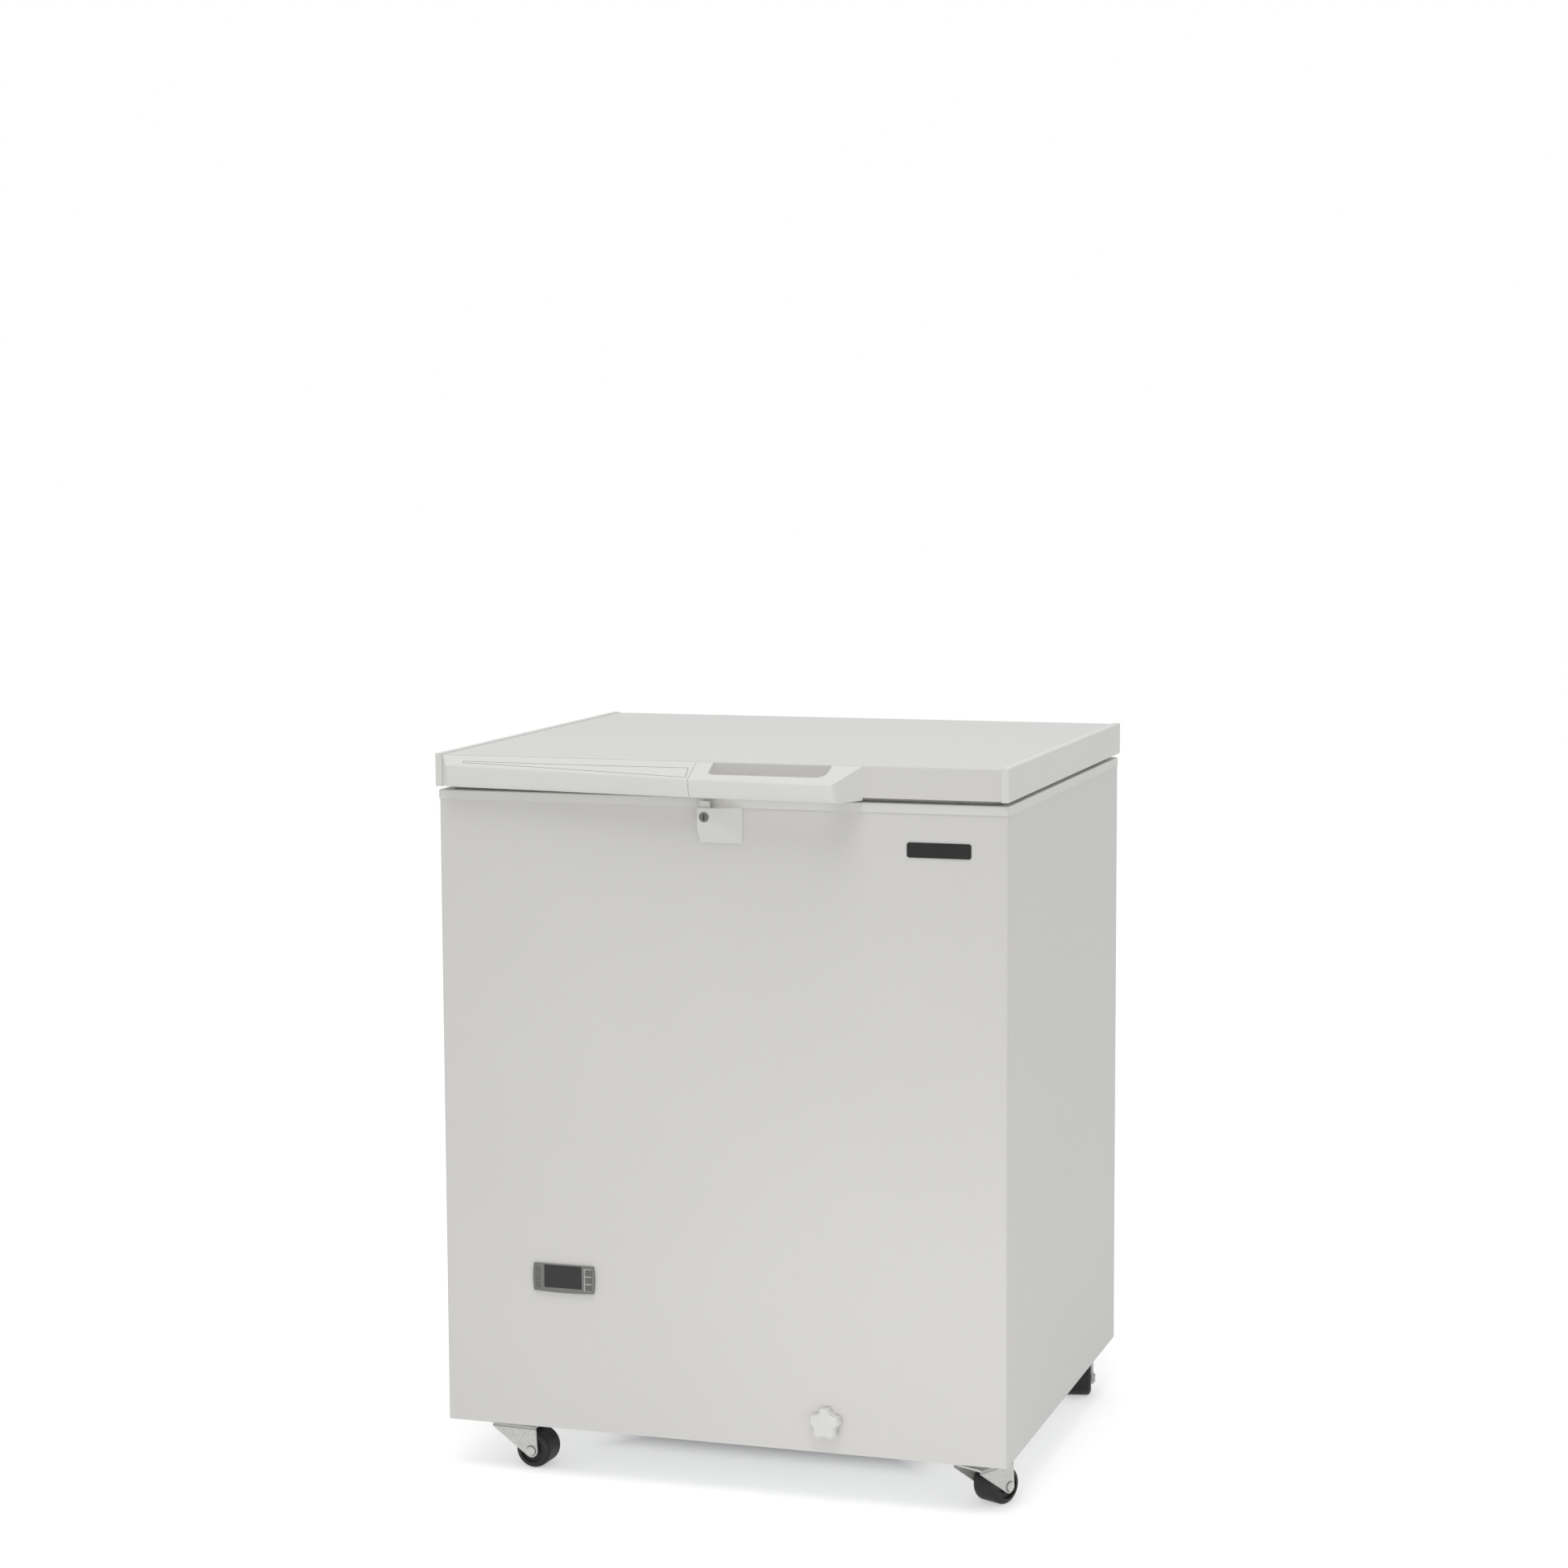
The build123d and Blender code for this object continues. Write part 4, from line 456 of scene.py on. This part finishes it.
def curved_front(made, name):
    """The moulding with a tighter fold along its upper edge and a front that draws back below it."""
    made.from_mesh(frame["nodes"][name].data)
    bmesh.ops.remove_doubles(made, verts=made.verts, dist=weld_distance)
    for strip in range(1, curve_strips):
        level = handle_bottom + (cover_left.z - handle_bottom) * strip / curve_strips
        everything = made.verts[:] + made.edges[:] + made.faces[:]
        bmesh.ops.bisect_plane(made, geom=everything, plane_co=(0, 0, level), plane_no=(0, 0, 1))
    for point in made.verts:
        edge = front_edge(point.co.x)
        from_edge = Vector((0, point.co.y - edge.y, point.co.z - edge.z))
        if from_edge.length < fold_reach:
            point.co -= fold_tightening * from_edge
        below = (edge.z - point.co.z) / (edge.z - handle_bottom)
        forward = (cover_back.y - point.co.y) / (cover_back.y - edge.y)
        below = min(max(below, 0.0), 1.0)
        forward = min(max(forward, 0.0), 1.0)
        point.co.y += curve_under * below**curve_power * forward**2
    for face in made.faces:
        face.smooth = True


for name in ("handle_cover", "handle_grip"):
    moulded = piece_from(
        f"{name}_moulding",
        lambda made: curved_front(made, name),
        bright,
        "lid",
    )
    layers = moulded.data.attributes
    if "custom_normal" in layers:
        layers.remove(layers["custom_normal"])
    moulded.data.set_sharp_from_angle(angle=crease_angle)
    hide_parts(name)

# Corners of the panel: x, and the share of the way from the lid to the cover's front edge.
panel_corners = ((-0.3025, 0.55), (-0.0276, 0.352), (-0.0246, 0.90), (-0.3015, 0.70))
panel_steps = 24
groove_width = 0.0006
groove_lift = 0.00008
slope_taken_at = -0.1


def on_cover(x, share):
    """A point on the cover's sloping top, from the lid (share 0) to its front edge (share 1)."""
    back = Vector((x, cover_back.y, cover_back.z))
    return back.lerp(front_edge(x), share)


def panel_groove(made):
    """A narrow dark line round the long panel, just above the cover's top, painted shade for a groove
    moulded into it.
    """
    line = []
    for start, end in zip(panel_corners, panel_corners[1:] + panel_corners[:1]):
        for step in range(panel_steps):
            part = step / panel_steps
            x = start[0] + part * (end[0] - start[0])
            share = start[1] + part * (end[1] - start[1])
            line.append(on_cover(x, share))
    middle = sum(line, Vector()) / len(line)
    slope = on_cover(slope_taken_at, 0.0) - on_cover(slope_taken_at, 1.0)
    up = slope.cross(Vector((1, 0, 0))).normalized()
    up = up if up.z > 0 else -up
    rings = []
    for i, point in enumerate(line):
        ahead = (line[(i + 1) % len(line)] - line[i - 1]).normalized()
        across = ahead.cross(up).normalized()
        across = across if across.dot(point - middle) > 0 else -across
        lifted = point + up * groove_lift
        inner = made.verts.new(lifted - across * groove_width / 2)
        outer = made.verts.new(lifted + across * groove_width / 2)
        rings.append((inner, outer))
    for i, (inner, outer) in enumerate(rings):
        next_inner, next_outer = rings[(i + 1) % len(rings)]
        made.faces.new((inner, outer, next_outer, next_inner))


# The groove line's dark colour is painted shade.
groove = new_material("painted_groove_shade", Roughness=0.7)
groove_shade_grain = place_group(groove, grain_group, Fine_Scale=1500.0, Broad_Scale=20.0)
tint(groove, groove_shade_grain.outputs["Broad"], low=(0.20, 0.20, 0.19), high=(0.28, 0.28, 0.27))
piece_from("handle_panel_groove_shade", panel_groove, groove, "lid")

# Lock: a white moulded housing on the front, a steel key cylinder, and the bolt that it
# lifts into the grip above. The mould leaves the housing's edges a little round.
finish_nodes(moulding, "lock_housing", "lock_bolt")
housing = frame["nodes"]["lock_housing"]
housing_weld = housing.modifiers.new("joined_faces", "WELD")
housing_weld.merge_threshold = weld_distance
housing_edges = housing.modifiers.new("eased_edges", "BEVEL")
housing_edges.width = 0.0006
housing_edges.segments = 2
housing_edges.limit_method = "ANGLE"
housing_edges.angle_limit = radians(35)

lock_steel = new_material("lock_steel", Metallic=0.9)
lock_grain = place_group(lock_steel, grain_group, Fine_Scale=2200.0, Broad_Scale=300.0)
tint(lock_steel, lock_grain.outputs["Broad"], low=(0.12, 0.12, 0.118), high=(0.20, 0.20, 0.195))
roughen(lock_steel, lock_grain.outputs["Fine"], low=0.3, high=0.45)
finish_nodes(lock_steel, "lock_cylinder")

# Controller: a grey moulded panel case pushed through the front sheet, with a dark
# display window and two columns of membrane keys.
case_grey = new_material("controller_grey", IOR=1.5)
case_grain = place_group(case_grey, grain_group, Fine_Scale=1800.0, Broad_Scale=60.0)
tint(case_grey, case_grain.outputs["Broad"], low=(0.17, 0.17, 0.16), high=(0.20, 0.20, 0.19))
roughen(case_grey, case_grain.outputs["Fine"], low=0.4, high=0.5)
add_bump(case_grey, case_grain.outputs["Fine"], strength=0.06, distance=0.0002)
finish_nodes(case_grey, "controller_case")

window = new_material("display_window", IOR=1.49)
window_grain = place_group(window, grain_group, Fine_Scale=3000.0, Broad_Scale=90.0)
tint(window, window_grain.outputs["Broad"], low=(0.009, 0.009, 0.009), high=(0.014, 0.014, 0.014))
roughen(window, window_grain.outputs["Fine"], low=0.12, high=0.2)
finish_nodes(window, "controller_display")

rule_width = 0.04
side_rule_width = 0.08
rule_warmth = 0.98


def key_finish(name, rule, rule_side):
    """Satin key film with printed rules along the key's top and bottom and down one side."""
    film = new_material(name, IOR=1.5)
    tree = film.node_tree
    grain = place_group(film, grain_group, Fine_Scale=2600.0, Broad_Scale=120.0)
    roughen(film, grain.outputs["Fine"], low=0.4, high=0.52)
    places = tree.nodes.new("ShaderNodeTexCoord")
    axes = tree.nodes.new("ShaderNodeSeparateXYZ")
    tree.links.new(places.outputs["Generated"], axes.inputs["Vector"])
    bottom = combine(tree, "COMPARE", axes.outputs["Z"], 0.0, rule_width)
    top = combine(tree, "COMPARE", axes.outputs["Z"], 1.0, rule_width)
    side = combine(tree, "COMPARE", axes.outputs["X"], rule_side, side_rule_width)
    ends = combine(tree, "MAXIMUM", bottom, top)
    ruled = combine(tree, "MAXIMUM", ends, side)
    ground = ramp_colour(
        tree, grain.outputs["Broad"], low=(0.118, 0.118, 0.113), high=(0.140, 0.140, 0.134)
    )
    marked(film, ruled, ground, mark=(rule, rule, rule * rule_warmth))
    return film


for column, rule, rule_side in (("left", 0.32, 1.0), ("right", 0.85, 0.0)):
    film = key_finish(f"key_film_{column}", rule, rule_side)
    finish_nodes(film, *(f"key_{column}_{row}" for row in ("top", "middle", "bottom")))

# Name plate: a bare plate of black anodised metal with a satin face and eased edges, stuck
# to the front sheet.
plate_black = new_material("plate_black", Specular_IOR_Level=0.3)
plate_grain = place_group(plate_black, grain_group, Fine_Scale=2000.0, Broad_Scale=40.0)
tint(plate_black, plate_grain.outputs["Broad"], low=(0.012, 0.012, 0.012), high=(0.018, 0.018, 0.018))
roughen(plate_black, plate_grain.outputs["Fine"], low=0.35, high=0.5)
finish_nodes(plate_black, "name_plate")

# Drain: a moulded white plastic spout through the front, and a lobed screw cap that closes
# it on a rubber washer.
finish_nodes(moulding, "drain_pipe", "drain_cap")

# Hinges: pressed steel spring boxes and arms, powder coated white, on zinc-plated pins. The
# boxes are screwed to the back of the cabinet and the arms to the lid.
powder = new_material("powder_coat", IOR=1.5)
powder_grain = place_group(powder, grain_group, Fine_Scale=1100.0, Broad_Scale=18.0)
tint(powder, powder_grain.outputs["Broad"], low=(0.68, 0.675, 0.66), high=(0.74, 0.735, 0.72))
roughen(powder, powder_grain.outputs["Fine"], low=0.4, high=0.58)
add_bump(powder, powder_grain.outputs["Fine"], strength=0.2, distance=0.0004)
for side in ("left", "right"):
    finish_nodes(powder, f"hinge_base_{side}", f"hinge_arm_{side}")
    finish_nodes(zinc, f"hinge_pin_{side}")

# Screws: zinc-plated steel with pan heads, through the hinges, the grille and the caster
# plates. Each head's cross recess is a dark cross laid on the head, painted shade.
finish_nodes(zinc, "cabinet_screws", "lid_screws")
recess_reach = 0.0019
recess_arm = 0.0004
recess_chamfer = 0.0002
recess_lift = 0.00005
recess_turn = 2.4
face_tolerance = 1e-5


def head_tops(name):
    """The middle of each screw head's top and the way that it faces."""
    made = bmesh.new()
    made.from_mesh(frame["nodes"][name].data)
    bmesh.ops.remove_doubles(made, verts=made.verts, dist=weld_distance)
    seen = set()
    tops = []
    for first in made.verts:
        if first in seen:
            continue
        seen.add(first)
        screw = [first]
        for point in screw:
            for edge in point.link_edges:
                other = edge.other_vert(point)
                if other not in seen:
                    seen.add(other)
                    screw.append(other)
        low = Vector(map(min, zip(*(point.co for point in screw))))
        high = Vector(map(max, zip(*(point.co for point in screw))))
        middle = (low + high) / 2
        along = min(range(3), key=lambda i: high[i] - low[i])
        ends = []
        for level, way in ((low[along], -1), (high[along], 1)):
            centre = middle.copy()
            centre[along] = level
            axis = Vector((0, 0, 0))
            axis[along] = way
            rim = [point.co for point in screw if abs(point.co[along] - level) < face_tolerance]
            reach = max((corner - centre).length for corner in rim)
            ends.append((reach, centre, axis))
        tops.append(max(ends, key=lambda end: end[0])[1:])
    made.free()
    return tops


def cross_recess_shade(made, centre, axis, turn):
    """A dark cross with a chamfered rim, painted shade for a recess, turned as the screw happened to
    stop.
    """
    across = axis.orthogonal().normalized()
    across.rotate(Matrix.Rotation(turn, 3, axis))
    beyond = axis.cross(across)
    rings = []
    for wider, height in ((0.0, recess_lift), (recess_chamfer, -recess_lift)):
        arm = recess_arm + wider
        reach = recess_reach + wider
        quarter = ((arm, arm), (arm, reach), (-arm, reach))
        ring = []
        for side in range(4):
            for u, v in quarter:
                for _ in range(side):
                    u, v = -v, u
                ring.append(made.verts.new(centre + axis * height + across * u + beyond * v))
        rings.append(ring)
    inner, outer = rings
    made.faces.new(inner)
    for i in range(len(inner)):
        j = (i + 1) % len(inner)
        made.faces.new((inner[i], inner[j], outer[j], outer[i]))


def screw_recess_shades(made, name):
    """The painted recess shades of all the screws in a node."""
    for count, (centre, axis) in enumerate(head_tops(name)):
        cross_recess_shade(made, centre, axis, recess_turn * count)


for body in ("cabinet", "lid"):
    piece_from(
        f"{body}_screw_recess_shades",
        lambda made: screw_recess_shades(made, f"{body}_screws"),
        shade_paint,
        body,
    )

# Studio: a pale floor that shows white to the camera, keeps the object's soft shadow and
# is clear from below, a white surround that lights it evenly, a large soft lamp high in
# front, and a low strip lamp in front that lifts the foot of the cabinet.
floor_reach = 60.0
floor_edges = (-floor_reach, floor_reach)
floor_mesh = bpy.data.meshes.new("studio_floor")
floor_mesh.from_pydata([(x, y, 0) for x in floor_edges for y in floor_edges], [], [(0, 2, 3, 1)])
floor = bpy.data.objects.new("studio_floor", floor_mesh)
bpy.context.scene.collection.objects.link(floor)


def seen_directly(tree):
    """1 for the rays that show a surface to the camera, straight or in metal and glass."""
    rays = tree.nodes.new("ShaderNodeLightPath")
    in_metal = rays.outputs["Is Glossy Ray"]
    in_glass = rays.outputs["Is Transmission Ray"]
    mirrored = combine(tree, "MAXIMUM", in_metal, in_glass)
    return combine(tree, "MAXIMUM", rays.outputs["Is Camera Ray"], mirrored)


floor_paint = new_material(
    "studio_floor",
    Base_Color=(0.9, 0.9, 0.9, 1),
    Roughness=0.9,
    Specular_IOR_Level=0.0,
    Emission_Color=(1, 1, 1, 1),
)
footprint_middle = Vector((0.0, 0.0125, 0.0))
footprint_half = Vector((0.34, 0.288, 0.0))
shadow_fade = (-0.22, -0.12)
floor_glow_level = 0.46
floor_tree = floor_paint.node_tree
floor_shader = principled(floor_paint)
floor_places = floor_tree.nodes.new("ShaderNodeTexCoord")
floor_offset = floor_tree.nodes.new("ShaderNodeVectorMath")
floor_offset.operation = "SUBTRACT"
floor_offset.inputs[1].default_value = footprint_middle
floor_mirror = floor_tree.nodes.new("ShaderNodeVectorMath")
floor_mirror.operation = "ABSOLUTE"
floor_outside = floor_tree.nodes.new("ShaderNodeVectorMath")
floor_outside.operation = "SUBTRACT"
floor_outside.inputs[1].default_value = footprint_half
floor_axes = floor_tree.nodes.new("ShaderNodeSeparateXYZ")
floor_fade = floor_tree.nodes.new("ShaderNodeMapRange")
floor_fade.interpolation_type = "SMOOTHSTEP"
floor_fade.inputs["From Min"].default_value = shadow_fade[0]
floor_fade.inputs["From Max"].default_value = shadow_fade[1]
floor_fade.inputs["To Max"].default_value = floor_glow_level
floor_tree.links.new(floor_places.outputs["Object"], floor_offset.inputs[0])
floor_tree.links.new(floor_offset.outputs["Vector"], floor_mirror.inputs[0])
floor_tree.links.new(floor_mirror.outputs["Vector"], floor_outside.inputs[0])
floor_tree.links.new(floor_outside.outputs["Vector"], floor_axes.inputs["Vector"])
floor_past = combine(floor_tree, "MAXIMUM", floor_axes.outputs["X"], floor_axes.outputs["Y"])
floor_tree.links.new(floor_past, floor_fade.inputs["Value"])
floor_glow = combine(floor_tree, "MULTIPLY", floor_fade.outputs["Result"], seen_directly(floor_tree))
floor_tree.links.new(floor_glow, floor_shader.inputs["Emission Strength"])
floor_side = floor_tree.nodes.new("ShaderNodeNewGeometry")
floor_rays = floor_tree.nodes.new("ShaderNodeLightPath")
floor_clear_glass = floor_tree.nodes.new("ShaderNodeBsdfTransparent")
floor_either = floor_tree.nodes.new("ShaderNodeMixShader")
floor_surface = floor_tree.nodes["Material Output"].inputs["Surface"]
floor_below = combine(
    floor_tree, "MULTIPLY", floor_side.outputs["Backfacing"], floor_rays.outputs["Is Camera Ray"]
)
floor_tree.links.new(floor_below, floor_either.inputs["Fac"])
floor_tree.links.new(floor_shader.outputs["BSDF"], floor_either.inputs[1])
floor_tree.links.new(floor_clear_glass.outputs["BSDF"], floor_either.inputs[2])
floor_tree.links.new(floor_either.outputs["Shader"], floor_surface)
floor_mesh.materials.append(floor_paint)

world = bpy.data.worlds.new("studio_surround")
bpy.context.scene.world = world
world.use_nodes = True
world_background = world.node_tree.nodes["Background"]
world_background.inputs["Color"].default_value = (1, 1, 1, 1)
world_seen = seen_directly(world.node_tree)
world_level = ramp_value(world.node_tree, world_seen, low=0.6, high=1.0)
world.node_tree.links.new(world_level, world_background.inputs["Strength"])


def soft_lamp(name, place, target, width, height, power):
    """A soft box that points at the target."""
    lamp = bpy.data.lights.new(name, "AREA")
    lamp.shape = "RECTANGLE"
    lamp.size = width
    lamp.size_y = height
    lamp.energy = power
    holder = bpy.data.objects.new(name, lamp)
    holder.location = place
    holder.rotation_euler = (Vector(target) - Vector(place)).to_track_quat("-Z", "Y").to_euler()
    bpy.context.scene.collection.objects.link(holder)


soft_lamp(
    "high_box",
    place=(0.3, -1.9, 4.2),
    target=(0, 0, 0.6),
    width=2.0,
    height=2.0,
    power=41.0,
)
soft_lamp(
    "low_box",
    place=(0.3, -1.15, 0.07),
    target=(0.1, 0, 0.07),
    width=1.2,
    height=0.12,
    power=1.5,
)

# Camera: the photograph's own viewing angle, from the front and to the right, a little
# above the lid.
camera_data = bpy.data.cameras.new("photo_camera")
camera_data.sensor_width = 36.0
camera_data.lens = 76.71
camera = bpy.data.objects.new("photo_camera", camera_data)
bpy.context.scene.collection.objects.link(camera)
bpy.context.scene.camera = camera
camera_place = (1.2109, -3.8360, 1.2291)
camera_yaw = radians(17.6135)
camera_pitch = radians(6.0907)
camera_roll = radians(0.265)
camera_forward = Vector(
    (-sin(camera_yaw) * cos(camera_pitch), cos(camera_yaw) * cos(camera_pitch), -sin(camera_pitch))
)
camera_right = Vector((cos(camera_yaw), sin(camera_yaw), 0))
camera_down = camera_forward.cross(camera_right)
camera_axes = (
    cos(camera_roll) * camera_right + sin(camera_roll) * camera_down,
    sin(camera_roll) * camera_right - cos(camera_roll) * camera_down,
    -camera_forward,
)
camera_turn = Matrix(camera_axes).transposed().to_4x4()
camera.matrix_world = Matrix.Translation(camera_place) @ camera_turn

bpy.context.scene.view_settings.view_transform = "Standard"
